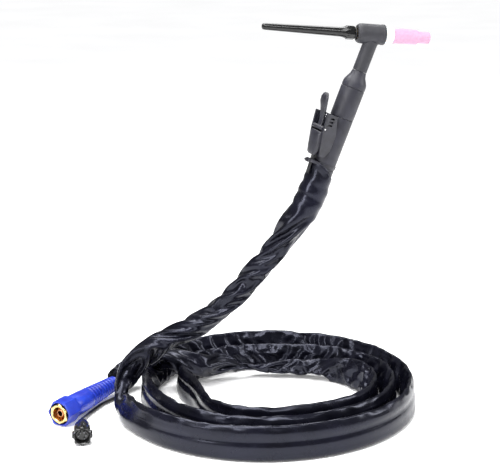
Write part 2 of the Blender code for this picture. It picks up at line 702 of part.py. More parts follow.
def build_cable(handle):
    """Cover on the handle's tail, the cable's way down, its coil and its far end."""
    turned("cable_cover_top", ring_section(HANDLE_R + GAP, COVER_R, TAIL_END, COVER_TOP, 0.0010),
           "leatherette", handle, sides=ROUND)

    start = handle_point(TAIL_END - GAP)
    top = FLOOR_Z + COIL_HEIGHT
    low = FLOOR_Z + CABLE_R + 0.0006
    foot, inwards = coil_side(190.0)
    tube("cable_riser", [
        start, handle_point(TAIL_END - 0.0100), handle_point(TAIL_END - 0.0200),
        (-0.0850, 0.0080, -0.1720), (-0.1050, 0.0140, -0.1970), (-0.1310, 0.0210, -0.2290),
        (-0.1600, 0.0280, -0.2560), (-0.1900, 0.0350, -0.2760), (-0.2210, 0.0420, -0.2920),
        (-0.2500, 0.0470, top + 0.0230), (-0.2720, 0.0480, top + 0.0060),
        (-0.2840, 0.0420, top - 0.0120), (-0.2880, 0.0290, low + 0.0030),
        (-0.2890, 0.0140, low), foot - 0.0200 * inwards + Vector((0.0, 0.0040, low)),
        foot - 0.0060 * inwards + Vector((0.0, 0.0, low)), foot + Vector((0.0, 0.0, low)),
    ], CABLE_R, "leatherette", resolution=3, spacing=0.35)

    turned("cable_coil", ring_section(COIL_INNER_R, COIL_OUTER_R, FLOOR_Z, top, 0.0060),
           "leatherette", None, sides=48, at=COIL_CENTRE)

    back = connector_point(BOOT_LENGTH + NUT_LENGTH * 0.6 + GAP)
    aim = Vector((math.cos(CONNECTOR_AIM), math.sin(CONNECTOR_AIM), 0.0))
    leave, inwards = coil_side(140.0)
    leave.z = back.z
    tube("cable_tail", [
        leave, leave - 0.0080 * inwards, leave - 0.0180 * inwards + Vector((-0.0080, -0.0040, 0.0)),
        back - 0.0260 * aim + Vector((-0.0030, 0.0040, 0.0)), back - 0.0100 * aim, back,
    ], BOOT_TAIL_R - 0.0010, "leatherette", resolution=3, spacing=0.5)


def coil_side(degrees):
    """Place just off the coil's outer side, and the level direction into the coil there."""
    angle = math.radians(degrees)
    out = Vector((math.cos(angle), math.sin(angle), 0.0))
    x, y = COIL_CENTRE
    return Vector((x, y, 0.0)) + (COIL_OUTER_R + GAP) * out, -out


# ---- gas and power connector ---------------------------------------------------------------
def connector_point(behind):
    """World place on the connector's axis, a distance behind its front end."""
    x, y = CONNECTOR_HEAD
    return Vector((x - behind * math.cos(CONNECTOR_AIM), y - behind * math.sin(CONNECTOR_AIM),
                   FLOOR_Z + CONNECTOR_LIFT))


def axis_frame(name, place, aim):
    """An axis system whose Z lies level and points along aim."""
    return empty(name, place, (0.0, math.radians(90.0), aim))


def build_connector():
    """Blue boot, brass nut and nipple, and the ferrule crimped on the hose."""
    front = axis_frame("connector_axis", connector_point(0.0), CONNECTOR_AIM)
    boot_front = -NUT_LENGTH * 0.6
    boot_back = boot_front - BOOT_LENGTH
    hose = BOOT_TAIL_R - 0.0030
    outline = [(hose, boot_back), (BOOT_TAIL_R - 0.0006, boot_back), (BOOT_TAIL_R, boot_back + 0.0010)]
    pitch = 0.0056
    for k in range(BOOT_RIBS):
        z = boot_back + 0.0040 + pitch * k
        radius = BOOT_TAIL_R + (BOOT_R - 0.0035 - BOOT_TAIL_R) * k / BOOT_RIBS
        outline += [(radius + 0.0004, z), (radius - 0.0010, z + 0.0006),
                    (radius - 0.0010, z + 0.0020), (radius + 0.0006, z + 0.0026)]
    shoulder = boot_back + 0.0040 + pitch * BOOT_RIBS + 0.0040
    outline += [(BOOT_R - 0.0020, shoulder), (BOOT_R - 0.0006, shoulder + 0.0120),
                (BOOT_R, shoulder + 0.0300), (BOOT_R, boot_front - 0.0010),
                (BOOT_R - 0.0010, boot_front)]
    nut_corner = half(NUT_FLATS) / math.cos(math.pi / 6.0)
    well = nut_corner + 0.0004
    nut_back = -NUT_LENGTH
    outline += [(well, boot_front), (well, nut_back - GAP), (NUT_BORE_R, nut_back - GAP),
                (NUT_BORE_R, nut_back - 0.0200), (hose, nut_back - 0.0260)]
    turned("connector_boot", outline, "blue_rubber", front, sides=24)

    def hexagon(angle, radius, z):
        if radius < NUT_BORE_R + 0.0020:
            return radius
        turn = (angle % (math.pi / 3.0)) - math.pi / 6.0
        flat = half(NUT_FLATS) / math.cos(turn)
        return min(flat, radius)

    turned("connector_nut", [
        (nut_corner - 0.0016, nut_back), (nut_corner, nut_back + 0.0010),
        (nut_corner, -0.0012), (half(NUT_FLATS) - 0.0004, 0.0),
        (NUT_BORE_R + 0.0008, 0.0), (NUT_BORE_R, -0.0008), (NUT_BORE_R, nut_back + 0.0052),
        (NIPPLE_R + RUN, nut_back + 0.0050), (NIPPLE_R + RUN, nut_back),
    ], "brass", front, sides=36, ripple=hexagon)

    turned("connector_nipple", [
        (NIPPLE_R, nut_back - 0.0060), (NIPPLE_R, nut_back + 0.0053),
        (NIPPLE_R + 0.0012, nut_back + 0.0054), (NIPPLE_R + 0.0012, nut_back + 0.0084),
        (NIPPLE_R - 0.0004, nut_back + 0.0124), (NIPPLE_R - 0.0024, -0.0034),
        (NIPPLE_BORE_R + 0.0004, -0.0030), (NIPPLE_BORE_R, -0.0036),
        (NIPPLE_BORE_R, nut_back - 0.0060),
    ], "copper", front, sides=ROUND)

    turned("connector_ferrule", [
        (NUT_BORE_R - GAP, nut_back - 0.0190), (NUT_BORE_R - GAP, nut_back - 0.0064),
        (NIPPLE_BORE_R, nut_back - 0.0064), (NIPPLE_BORE_R, nut_back - 0.0190),
    ], "brass", front, sides=SMALL)
    return front


# ---- control plug --------------------------------------------------------------------------
def plug_point(behind):
    """World place on the plug's axis, a distance behind its front end."""
    x, y = PLUG_FRONT
    return Vector((x - behind * math.cos(PLUG_AIM), y - behind * math.sin(PLUG_AIM),
                   FLOOR_Z + PLUG_LIFT))


def build_plug():
    """Round plug with a lobed coupling ring, contacts, gland nut and lead."""
    front = axis_frame("plug_axis", plug_point(0.0), PLUG_AIM)
    ring_back = -PLUG_RING_LENGTH
    body_back = -PLUG_BODY_LENGTH

    def lobes(angle, radius, z):
        if radius < PLUG_BODY_R + 0.0016:
            return radius
        wave = math.cos(PLUG_LOBES * angle)
        return radius - 0.0019 * (1.0 if wave < -0.35 else 0.0)

    turned("plug_coupling_ring", [
        (PLUG_RING_R - 0.0010, ring_back), (PLUG_RING_R, ring_back + 0.0010),
        (PLUG_RING_R, -0.0008), (PLUG_RING_R - 0.0008, 0.0), (PLUG_BODY_R + 0.0012, 0.0),
        (PLUG_BODY_R + RUN, -0.0010), (PLUG_BODY_R + RUN, ring_back),
    ], "black_nylon", front, sides=PLUG_LOBES * 6, ripple=lobes)

    recess = -0.0050
    turned("plug_body", [
        (CONTROL_LEAD_R + GAP, body_back), (PLUG_BODY_R - 0.0012, body_back),
        (PLUG_BODY_R - 0.0012, body_back + 0.0030), (PLUG_BODY_R + 0.0016, body_back + 0.0034),
        (PLUG_BODY_R + 0.0016, ring_back - GAP), (PLUG_BODY_R, ring_back - GAP),
        (PLUG_BODY_R, -0.0014), (PLUG_BODY_R - 0.0006, -0.0010),
        (PLUG_INSERT_R + 0.0001, -0.0010), (PLUG_INSERT_R, recess - 0.0060),
        (CONTROL_LEAD_R + GAP, recess - 0.0080),
    ], "black_nylon", front, sides=24)

    insert = turned("plug_insert", [
        (0.0, recess - 0.0056), (PLUG_INSERT_R - GAP, recess - 0.0056),
        (PLUG_INSERT_R - GAP, recess), (0.0, recess),
    ], "black_nylon", front, sides=24, start=0.07)
    for k in range(PLUG_PINS):
        angle = 2.0 * math.pi * (k + 0.5) / (PLUG_PINS + 1)
        spot = (PLUG_PIN_CIRCLE_R * math.cos(angle), PLUG_PIN_CIRCLE_R * math.sin(angle))
        hole = turned("pin_seat_%d" % (k + 1), [
            (0.0, recess - 0.0100), (PLUG_PIN_R + GAP, recess - 0.0100),
            (PLUG_PIN_R + GAP, recess + 0.0050), (0.0, recess + 0.0050),
        ], None, front, sides=8, at=spot)
        combine(insert, hole, "DIFFERENCE")
        turned("plug_pin_%d" % (k + 1), [
            (0.0, recess - 0.0050), (PLUG_PIN_R, recess - 0.0050), (PLUG_PIN_R, -0.0020),
            (0.0, -0.0014),
        ], "brass", front, sides=8, at=spot)

    gland_back = body_back - GLAND_LENGTH
    turned("plug_gland", [
        (CONTROL_LEAD_R + GAP, gland_back), (CONTROL_LEAD_R + 0.0016, gland_back),
        (PLUG_BODY_R - 0.0022, body_back - 0.0070), (PLUG_BODY_R - 0.0008, body_back - 0.0060),
        (PLUG_BODY_R - 0.0008, body_back - GAP), (CONTROL_LEAD_R + GAP, body_back - GAP),
    ], "black_nylon", front, sides=SMALL + 4)

    low = Vector((0.0, 0.0, FLOOR_Z + CONTROL_LEAD_R + 0.0006))
    end, inwards = coil_side(161.0)
    tube("control_lead", [
        plug_point(PLUG_BODY_LENGTH + 0.0010),
        plug_point(PLUG_BODY_LENGTH + GLAND_LENGTH), plug_point(PLUG_BODY_LENGTH + 0.0220),
        low + Vector((-0.3300, 0.0100, 0.0024)), low + Vector((-0.3215, 0.0290, 0.0)),
        low + Vector((-0.3110, 0.0450, 0.0)), low + Vector((-0.3005, 0.0600, 0.0)),
        low + Vector((-0.2880, 0.0720, 0.0)), low + end - 0.0100 * inwards, low + end,
    ], CONTROL_LEAD_R, "black_rubber", resolution=2, spacing=1.1)
    return front


# ---- whole torch ---------------------------------------------------------------------------
def main():
    clear_scene()
    handle = empty("handle_axis", (0.0, 0.0, 0.0), (0.0, LEAN, 0.0))
    meeting = handle_point(HEAD_REACH)
    droop = math.radians(90.0) + HEAD_DROOP
    middle = meeting - HEAD_SHIFT * Vector((math.sin(droop), 0.0, math.cos(droop)))
    head = empty("head_axis", middle, (0.0, droop, 0.0))
    switch = empty("switch_frame", (0.0, 0.0, 0.0), (0.0, 0.0, math.pi + SWITCH_ROLL), handle)
    build_head_body(head, handle)
    build_head_core(head)
    build_front_end(head)
    build_back_cap(head)
    build_handle(handle)
    build_switch_housing(switch)
    build_switch_cover(switch)
    build_trigger_lever(switch)
    build_switch_inside(switch)
    build_cable_tie(switch)
    build_cable(handle)
    build_connector()
    build_plug()
    bpy.context.view_layer.update()


main()
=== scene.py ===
"""Looks of the TIG torch: finishes, covered cable, control lead and studio.

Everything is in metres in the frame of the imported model: the handle leans in the XZ plane, the
nozzle points to +X and the coil lies on the surface at FLOOR_Z.
"""
import json
import math
from types import SimpleNamespace

import bmesh
import bpy
import numpy as np
from bpy.props import FloatProperty, FloatVectorProperty, IntProperty, PointerProperty
from mathutils import Euler, Matrix, Vector

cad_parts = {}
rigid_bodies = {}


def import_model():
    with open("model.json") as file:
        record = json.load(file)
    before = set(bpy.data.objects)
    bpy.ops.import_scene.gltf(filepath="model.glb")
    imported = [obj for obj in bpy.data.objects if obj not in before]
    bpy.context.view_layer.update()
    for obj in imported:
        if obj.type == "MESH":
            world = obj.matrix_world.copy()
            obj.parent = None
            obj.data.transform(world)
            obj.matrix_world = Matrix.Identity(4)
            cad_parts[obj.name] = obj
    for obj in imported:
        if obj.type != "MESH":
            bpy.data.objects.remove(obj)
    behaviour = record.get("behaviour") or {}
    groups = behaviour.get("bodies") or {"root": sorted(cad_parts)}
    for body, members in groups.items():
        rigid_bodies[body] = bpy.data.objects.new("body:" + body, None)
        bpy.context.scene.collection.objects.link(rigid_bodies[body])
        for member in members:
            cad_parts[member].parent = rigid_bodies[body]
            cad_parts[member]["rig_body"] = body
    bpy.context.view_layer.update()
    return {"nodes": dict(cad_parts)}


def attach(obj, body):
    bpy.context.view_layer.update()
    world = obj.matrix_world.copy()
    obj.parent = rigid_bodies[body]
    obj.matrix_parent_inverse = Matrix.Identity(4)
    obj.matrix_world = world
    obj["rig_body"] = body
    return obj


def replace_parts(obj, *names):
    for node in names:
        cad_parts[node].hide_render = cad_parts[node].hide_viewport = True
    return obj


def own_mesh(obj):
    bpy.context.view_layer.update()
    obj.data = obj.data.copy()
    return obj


bl_info = {
    "name": "TIG torch looks",
    "version": (1, 0, 0),
    "blender": (4, 5, 0),
    "location": "3D View > Sidebar > Torch",
    "description": "Finishes, covered cable and studio for the TIG torch",
    "category": "Object",
}

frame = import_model()

# ---- places shared with the CAD source ---------------------------------------------------------
LEAN = math.radians(21.0)            # handle axis from the vertical
SWITCH_ROLL = math.radians(22.0)     # the switch sits turned round the handle by this much
FLOOR_Z = -0.382
COIL_TOP = FLOOR_Z + 0.048
COIL_MIDDLE = FLOOR_Z + 0.0225       # middle height of the cover lying on edge
LEAD_LOW = FLOOR_Z + 0.0030
CONNECTOR_HEAD = Vector((-0.3620, 0.0010, FLOOR_Z + 0.0168))
CONNECTOR_AIM = math.radians(230.0)
BOOT_LENGTH = 0.1120
PLUG_FRONT = Vector((-0.3380, -0.0660, FLOOR_Z + 0.0128))
PLUG_AIM = math.radians(265.0)


def along_handle(s, across=0.0):
    """The point at s above the grip's centre on the handle's axis, moved towards the nozzle's side."""
    return Vector((math.sin(LEAN) * s + math.cos(LEAN) * across, 0.0,
                   math.cos(LEAN) * s - math.sin(LEAN) * across))


def behind(front, aim, distance):
    """A point that far behind a connector's front."""
    return front - distance * Vector((math.cos(aim), math.sin(aim), 0.0))


# the covered cable's way down from the handle to the surface
RISER = [
    along_handle(-0.0600), along_handle(-0.0930, -0.0005), along_handle(-0.1230, -0.0016),
    along_handle(-0.1370, -0.0050), along_handle(-0.1520, -0.0100),
    (-0.0850, 0.0080, -0.1720), (-0.1050, 0.0140, -0.1970), (-0.1310, 0.0210, -0.2290),
    (-0.1600, 0.0280, -0.2560), (-0.1900, 0.0350, -0.2760), (-0.2210, 0.0420, -0.2920),
    (-0.2480, 0.0460, COIL_TOP + 0.0230), (-0.2655, 0.0470, COIL_TOP + 0.0060),
    (-0.2765, 0.0400, COIL_TOP - 0.0070), (-0.2808, 0.0270, COIL_TOP - 0.0180),
    (-0.2818, 0.0120, COIL_TOP - 0.0235),
]
# its way out of the coil, over the turns below it and round to the connector
TAIL = [
    (-0.1338, 0.1205, FLOOR_Z + 0.0235), (-0.1618, 0.1092, FLOOR_Z + 0.0275),
    (-0.1961, 0.1062, FLOOR_Z + 0.0390), (-0.2253, 0.1135, FLOOR_Z + 0.0410),
    (-0.2482, 0.1164, FLOOR_Z + 0.0300), (-0.2656, 0.1118, FLOOR_Z + 0.0190),
    (-0.2764, 0.1028, FLOOR_Z + 0.0168),
]
CROSSING = (-0.2120, 0.1100)         # where the way out presses on the turns below it
PRESSED = 0.42                       # share of their height that they give up there
PRESS_REACH = 0.0300                 # distance from there at which about a third of it is left
COIL_CENTRE = (-0.0925, 0.0270)
COIL_TURN_START = math.radians(196.0)
COIL_TURN_END = math.radians(1172.0)
COIL_STEP = math.radians(11.9)
COIL_SKEW = math.radians(12.0)       # the coil's long side lies turned by this much
COIL_LEFT = math.radians(190.0)      # whole turns are counted from here
COIL_R = 0.1900
COIL_PITCH = 0.0300                  # each turn lies this much further in
RIGHT_BULGE = (0.0110, 0.0065)       # at the start and per turn
BACK_DENT = 0.0038                   # per turn
LEFT_DENT = 0.0095                   # grows with the square of the turn, at the connector's side
LEFT_DENT_AT = math.radians(195.0)
BACK_SINK = 0.205                    # share of its height that each turn gives up at the back
BACK_FIRST = 0.72                    # turns made when the cable first passes the back
TWIST = 0.30                         # turns that the cover twists between handle and coil

LEAD = [
    behind(PLUG_FRONT, PLUG_AIM, 0.0340), behind(PLUG_FRONT, PLUG_AIM, 0.0490),
    behind(PLUG_FRONT, PLUG_AIM, 0.0550),
    (-0.3300, 0.0100, LEAD_LOW + 0.0024), (-0.3215, 0.0290, LEAD_LOW), (-0.3110, 0.0450, LEAD_LOW),
    (-0.3005, 0.0600, LEAD_LOW), (-0.2880, 0.0720, LEAD_LOW), (-0.2735, 0.0855, LEAD_LOW),
    (-0.2655, 0.0960, LEAD_LOW + 0.0030), (-0.2600, 0.1040, LEAD_LOW + 0.0060),
]


# ---- settings ----------------------------------------------------------------------------------
class CoverSettings(bpy.types.PropertyGroup):
    """Sizes of the leatherette cable cover."""

    width: FloatProperty(name="Height on edge", description="Height of the flat cover lying on edge",
                         default=0.0445, unit="LENGTH")
    thickness: FloatProperty(name="Thickness", description="Thickness over the cable",
                             default=0.0195, unit="LENGTH")
    hem_radius: FloatProperty(name="Radius at the hem", description="At its upper end on the handle",
                              default=0.0168, unit="LENGTH")
    handle_radius: FloatProperty(name="Radius on the handle", description="Where it covers the handle",
                                 default=0.0184, unit="LENGTH")
    riser_radius: FloatProperty(name="Radius above the coil", description="On the hanging stretch",
                                default=0.0150, unit="LENGTH")
    cable_radius: FloatProperty(name="Cable radius", description="Hose bundle inside the cover",
                                default=0.0078, unit="LENGTH")
    cell: FloatProperty(name="Mesh cell", description="Spacing of the cover's mesh",
                        default=0.0031, unit="LENGTH")
    sides: IntProperty(name="Sides", description="Mesh points round the cover", default=40, min=16)
    steps: IntProperty(name="Relaxing steps", description="Steps that let the cover buckle",
                       default=240, min=1)


class LeadSettings(bpy.types.PropertyGroup):
    """Sizes of the control lead."""

    radius: FloatProperty(name="Radius", description="Radius of the control lead", default=0.0024,
                          unit="LENGTH")


class StudioSettings(bpy.types.PropertyGroup):
    """Floor, light and camera."""

    glow: FloatVectorProperty(name="Glow", description="Colour of the light from under the floor",
                              default=(1.0, 1.0, 1.0), subtype="COLOR")
    lens: FloatProperty(name="Lens", description="Focal length in millimetres", default=92.0)


# ---- small tools -------------------------------------------------------------------------------
def linear(code):
    """Linear colour of an sRGB hex code."""
    parts = [int(code[i:i + 2], 16) / 255.0 for i in (1, 3, 5)]
    return tuple(c / 12.92 if c <= 0.04045 else ((c + 0.055) / 1.055) ** 2.4 for c in parts) + (1.0,)


def add(tree, kind, inputs=None, **settings):
    """A node with its settings; inputs gives values, or sockets to link, by input name."""
    made = tree.nodes.new(kind)
    for name, value in settings.items():
        setattr(made, name, value)
    for key, value in (inputs or {}).items():
        if isinstance(value, bpy.types.NodeSocket):
            tree.links.new(value, made.inputs[key])
        else:
            made.inputs[key].default_value = value
    return made


def body_of(node):
    """Name of the body that a CAD node belongs to."""
    return frame["nodes"][node]["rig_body"]


def show(name, shape, body):
    """Put a finished piece of this shape into the scene, riding on a body."""
    piece = bpy.data.objects.new(name, shape)
    bpy.context.scene.collection.objects.link(piece)
    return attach(piece, body)


def closed_skin(name, corners, faces):
    """A smooth closed mesh whose faces all point outwards."""
    mesh = bpy.data.meshes.new(name)
    mesh.from_pydata(corners, [], faces)
    shape = bmesh.new()
    shape.from_mesh(mesh)
    bmesh.ops.recalc_face_normals(shape, faces=shape.faces)
    shape.to_mesh(mesh)
    shape.free()
    mesh.shade_smooth()
    return mesh


# ---- finishes ----------------------------------------------------------------------------------
PER_MM = 1000.0                      # pattern scale of one feature each millimetre
TONE_SPAN = (0.35, 0.68)             # noise values that give the two shades
WEAR_SPAN = (0.30, 0.70)             # noise values that give the least and greatest roughness
WEAR_FINER = 1.7                     # patches of wear are finer than those of tone by this
GRAIN_SHOWN = 0.6                    # share of the grain's bump that is used
SHADER_NAMES = {
    "specular_ior_level": "Specular IOR Level",
    "specular_tint": "Specular Tint",
    "emission_color": "Emission Color",
    "emission_strength": "Emission Strength",
    "subsurface_weight": "Subsurface Weight",
    "subsurface_scale": "Subsurface Scale",
}


def mottled(name, shades, patch_mm, rough, grain_mm, grain_depth_mm, metallic=0.0, **shader):
    """A finish with cloudy tone, uneven gloss and a fine grain.

    shades are two hex colours, rough the least and greatest roughness, shader more values of the
    Principled shader.
    """
    made = bpy.data.materials.get(name)
    if made:
        return made
    made = bpy.data.materials.new(name)
    made.use_nodes = True
    tree = made.node_tree
    surface = tree.nodes["Principled BSDF"]
    surface.inputs["Metallic"].default_value = metallic
    for key, value in shader.items():
        surface.inputs[SHADER_NAMES[key]].default_value = value
    place = add(tree, "ShaderNodeTexCoord").outputs["Object"]
    clouds = add(tree, "ShaderNodeTexNoise", {"Vector": place, "Scale": PER_MM / patch_mm, "Detail": 4.0})
    tone = add(tree, "ShaderNodeValToRGB", {"Fac": clouds.outputs["Fac"]})
    for stop, at, shade in zip(tone.color_ramp.elements, TONE_SPAN, shades):
        stop.position = at
        stop.color = linear(shade)
    tree.links.new(tone.outputs["Color"], surface.inputs["Base Color"])
    wear = add(tree, "ShaderNodeTexNoise", {"Vector": place, "Scale": WEAR_FINER * PER_MM / patch_mm,
                                            "Detail": 6.0})
    gloss = add(tree, "ShaderNodeMapRange", {"Value": wear.outputs["Fac"], "From Min": WEAR_SPAN[0],
                                             "From Max": WEAR_SPAN[1], "To Min": rough[0],
                                             "To Max": rough[1]})
    tree.links.new(gloss.outputs["Result"], surface.inputs["Roughness"])
    grain = add(tree, "ShaderNodeTexNoise", {"Vector": place, "Scale": PER_MM / grain_mm, "Detail": 3.0})
    bump = add(tree, "ShaderNodeBump", {"Height": grain.outputs["Fac"], "Strength": GRAIN_SHOWN,
                                        "Distance": grain_depth_mm / PER_MM})
    tree.links.new(bump.outputs["Normal"], surface.inputs["Normal"])
    return made


def moulded_rubber():
    """Moulded silicone rubber: dull, slightly dusty charcoal with a soft grain."""
    return mottled("moulded_silicone_rubber", ("#212126", "#2d2d34"), 14.0, (0.50, 0.68), 0.7, 0.05)


def grip_rubber():
    """Moulded rubber of the handle: a little blacker and smoother than the head."""
    return mottled("moulded_grip_rubber", ("#1a1a23", "#262631"), 18.0, (0.42, 0.58), 0.6, 0.05)


def phenolic():
    """Polished phenolic resin: nearly black with a sharp gloss."""
    return mottled("polished_phenolic", ("#0b0b0c", "#151516"), 9.0, (0.12, 0.24), 1.5, 0.02)


def moulded_nylon():
    """Spark-eroded moulded nylon: satin black with a fine even texture."""
    return mottled("moulded_nylon", ("#191921", "#262630"), 8.0, (0.34, 0.50), 0.5, 0.05)


def leatherette():
    """PVC leatherette: black with a cool cast, glossy on its folds, with a fine hide grain."""
    return mottled("pvc_leatherette", ("#07070d", "#0f0f19"), 30.0, (0.20, 0.31), 1.3, 0.08,
                   specular_ior_level=0.36, specular_tint=(0.76, 0.79, 1.0, 1.0))


def ptfe():
    """Turned PTFE: milky white with a waxy sheen."""
    return mottled("turned_ptfe", ("#f4f4f2", "#fbfbf9"), 6.0, (0.35, 0.50), 1.2, 0.02,
                   subsurface_weight=0.2, subsurface_scale=0.002)


def alumina():
    """Fired alumina, tinted pink: matte and finely pitted."""
    return mottled("fired_pink_alumina", ("#bd90ac", "#c59ab6"), 3.0, (0.42, 0.60), 0.5, 0.05,
                   subsurface_weight=0.05, subsurface_scale=0.0015)


def brass():
    """Machined brass: warm yellow metal with a fine worked grain."""
    return mottled("machined_brass", ("#cdb06c", "#e6cf98"), 4.0, (0.16, 0.34), 0.35, 0.03, metallic=1.0)


def copper():
    """Machined copper alloy: redder than the brass and duller."""
    return mottled("machined_copper", ("#b87f58", "#d8a27e"), 4.0, (0.22, 0.40), 0.4, 0.03, metallic=1.0)


def steel():
    """Drawn steel: bright, with a slightly uneven sheen."""
    return mottled("drawn_steel", ("#b9b9bc", "#d6d6d9"), 5.0, (0.18, 0.32), 0.4, 0.02, metallic=1.0)


def tungsten():
    """Ground tungsten: grey metal with a fine dull grain."""
    return mottled("ground_tungsten", ("#7b7b80", "#96969b"), 3.0, (0.28, 0.42), 0.3, 0.03, metallic=1.0)


def blue_rubber():
    """Moulded blue rubber: saturated and satin."""
    return mottled("moulded_blue_rubber", ("#14269a", "#1f3cb6"), 12.0, (0.30, 0.42), 0.8, 0.05)


def lead_jacket():
    """Extruded PVC jacket of the control lead: smooth glossy black."""
    return mottled("extruded_pvc", ("#101013", "#1c1c20"), 9.0, (0.24, 0.36), 0.9, 0.03)


# ---- CAD pieces, given soft edges and a finish -------------------------------------------------
MERGE = 2e-6                         # corners closer than this are one
FLAT = math.radians(0.6)             # faces flatter than this are one
ROUNDED_FROM = math.radians(32.0)    # edges sharper than this are rounded
SHARP_FROM = math.radians(50.0)      # edges sharper than this shade as edges


def dressed(node, material, edge):
    """A merged copy of a CAD piece, its edges bevelled by that width, shown in its place."""
    shape = bmesh.new()
    shape.from_mesh(frame["nodes"][node].data)
    bmesh.ops.remove_doubles(shape, verts=shape.verts, dist=MERGE)
    bmesh.ops.dissolve_limit(shape, angle_limit=FLAT, verts=shape.verts, edges=shape.edges)
    mesh = bpy.data.meshes.new(node + "_finished")
    shape.to_mesh(mesh)
    shape.free()
    mesh.shade_smooth()
    mesh.set_sharp_from_angle(angle=SHARP_FROM)
    mesh.materials.append(material)
    piece = show(node + "_finished", mesh, body_of(node))
    if edge:
        bevel = piece.modifiers.new("soft_edges", "BEVEL")
        bevel.width = edge
        bevel.segments = 2
        bevel.limit_method = "ANGLE"
        bevel.angle_limit = ROUNDED_FROM
        bevel.harden_normals = False
    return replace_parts(piece, node)


def dress(table):
    """Dress several CAD pieces: {node: (finish, edge)}."""
    return [dressed(node, material, edge) for node, (material, edge) in table.items()]


# ---- covered cable -----------------------------------------------------------------------------
# its section where it lies on edge
GROOVE_DEPTH = 0.27                  # share of the thickness
GROOVE_HEIGHT = 0.57                 # share of the height
GROOVE_SPREAD = 0.085
RIDGE_HALF = 0.0006                  # half the thickness at the top edge
RIDGE_TAPER = 2.3
PRESSED_WIDENS = 0.6                 # a pressed ring widens by this share of the height it gives up
# stretches over which the cover changes, along its run
WIDENS = (0.020, 0.060)              # from the hem
HELD = (0.060, 0.074)                # from the hem: the handle holds it up to here
LEAVES_HANDLE = (0.070, 0.120)       # from the hem
TWISTS_FROM = 0.075                  # from the hem
TWISTS_TO = -0.020                   # from the riser's end, as the next three
SWELLS = (-0.170, -0.060)
LOSES_SPARE = (-0.050, 0.020)
ONTO_EDGE = (-0.060, 0.030)
OFF_EDGE = (-0.055, 0.000)           # from the start of the way out, as the next
GAINS_SPARE = (-0.020, 0.040)
INTO_BOOT = (-0.050, -0.010)         # from the run's end
PRESS_FADES = (20, 2)                # rings before the way out
SWELL = 0.0024                       # added radius near the coil
SLIM = 0.0022                        # radius taken off on the way out
# lengths that the fabric wants, as shares
LONGEST = 1.08                       # a cell on the coil is as long as the bend's outside, up to this
TAKEN_IN = 0.980                     # and is then taken in to this
SPARE_ALONG_RISER = 0.040
SPARE_ALONG_TAIL = 0.050
SPARE_AROUND = 0.045
EVEN_ROWS = 9                        # rings over which these lengths are evened
OUTER_FACE = 0.006                   # from the middle outwards, the outer face turns calm over this
# how the fabric is eased
SEED = 26
ROUGH = 0.0008                       # starting unevenness
ROUGH_CELLS = (5.0, 5.0)             # its features along and around, in cells
WRINKLE = 0.0007                     # starting wrinkles on the handle
WRINKLE_CELLS = (2.6, 7.0)
STIFFNESS = 0.13                     # against bending
SHEAR_STIFFNESS = 0.35
FOLD_SPAN = 4.60                     # five cells fold up to no less than this many
DRIFT = 0.90                         # share of its last move that a point goes on with
CENTRING = 0.25                      # pull of each ring back to its middle
CALMING = 0.55                       # pull towards the neighbours on calm faces
CALM_ON_HANDLE = 0.8
HANDLE_HOLD = 0.35                   # pull back to the starting place on the handle
HANDLE_LIMIT = 0.0164                # the fabric on the handle stays at least this far from its axis
OUTER_LIMIT = 0.0262                 # no fabric lies further than this from the centreline
CABLE_LIFT = 0.0022                  # from the cover's lower edge to the cable
FLOOR_GAP = 0.0006
HELD_ROWS = 3                        # rings that stay put at each end
# hems
HEM_SLANT = 0.0220                   # how much lower the hem lies on the nozzle's side
HEM_ZONE = 0.0500                    # stretch that the slant is spread over
HEM_THICK = 0.0009
HEM_FOLD = 0.0004                    # how far in the turned hem starts
HEM_TUCK = 0.0100
HEM_RADII = (0.018, 0.014)           # about the cover's radius at the handle and at the boot


def distances(line):
    """Distance of each point from the first, along the line."""
    return np.concatenate([[0.0], np.cumsum(np.linalg.norm(np.diff(line, axis=0), axis=1))])


def evenly(line, far, count, closed=False):
    """That many points along a line whose own points lie at the distances far."""
    at = np.linspace(0.0, far[-1], count, endpoint=not closed)
    return np.stack([np.interp(at, far, column) for column in line.T], axis=1)


def smooth_line(points, spacing):
    """Evenly spaced points on the Catmull-Rom curve through the given ones, as rows."""
    knots = np.array([tuple(p) for p in points], float)
    knots = np.vstack([2 * knots[0] - knots[1], knots, 2 * knots[-1] - knots[-2]])
    t = np.linspace(0.0, 1.0, 30, endpoint=False)[:, None]
    fine = []
    for a, b, c, d in zip(knots, knots[1:], knots[2:], knots[3:]):
        fine.append(0.5 * (2 * b + (c - a) * t + (2 * a - 5 * b + 4 * c - d) * t ** 2
                           + (3 * b - a - 3 * c + d) * t ** 3))
    fine = np.vstack(fine + [knots[-2:-1]])
    far = distances(fine)
    return evenly(fine, far, round(far[-1] / spacing) + 1)


def coil_turns():
    """The coil's centreline, turn after turn inwards."""
    points = []
    angle = COIL_TURN_START
    while angle < COIL_TURN_END:
        seen = angle + COIL_SKEW
        turn = (seen - COIL_LEFT) / math.tau
        radius = COIL_R - COIL_PITCH * turn
        radius += (RIGHT_BULGE[0] + RIGHT_BULGE[1] * turn) * max(0.0, math.cos(seen)) ** 2
        radius -= BACK_DENT * turn * max(0.0, math.sin(seen)) ** 2
        radius -= LEFT_DENT * turn ** 2 * max(0.0, math.cos(seen - LEFT_DENT_AT)) ** 4
        points.append((COIL_CENTRE[0] + radius * math.cos(angle),
                       COIL_CENTRE[1] + radius * math.sin(angle), COIL_MIDDLE))
        angle += COIL_STEP
    return points


def ramp(value, low, high):
    """0 below low, 1 above high and smooth between."""
    t = np.clip((value - low) / (high - low), 0.0, 1.0)
    return t * t * (3.0 - 2.0 * t)


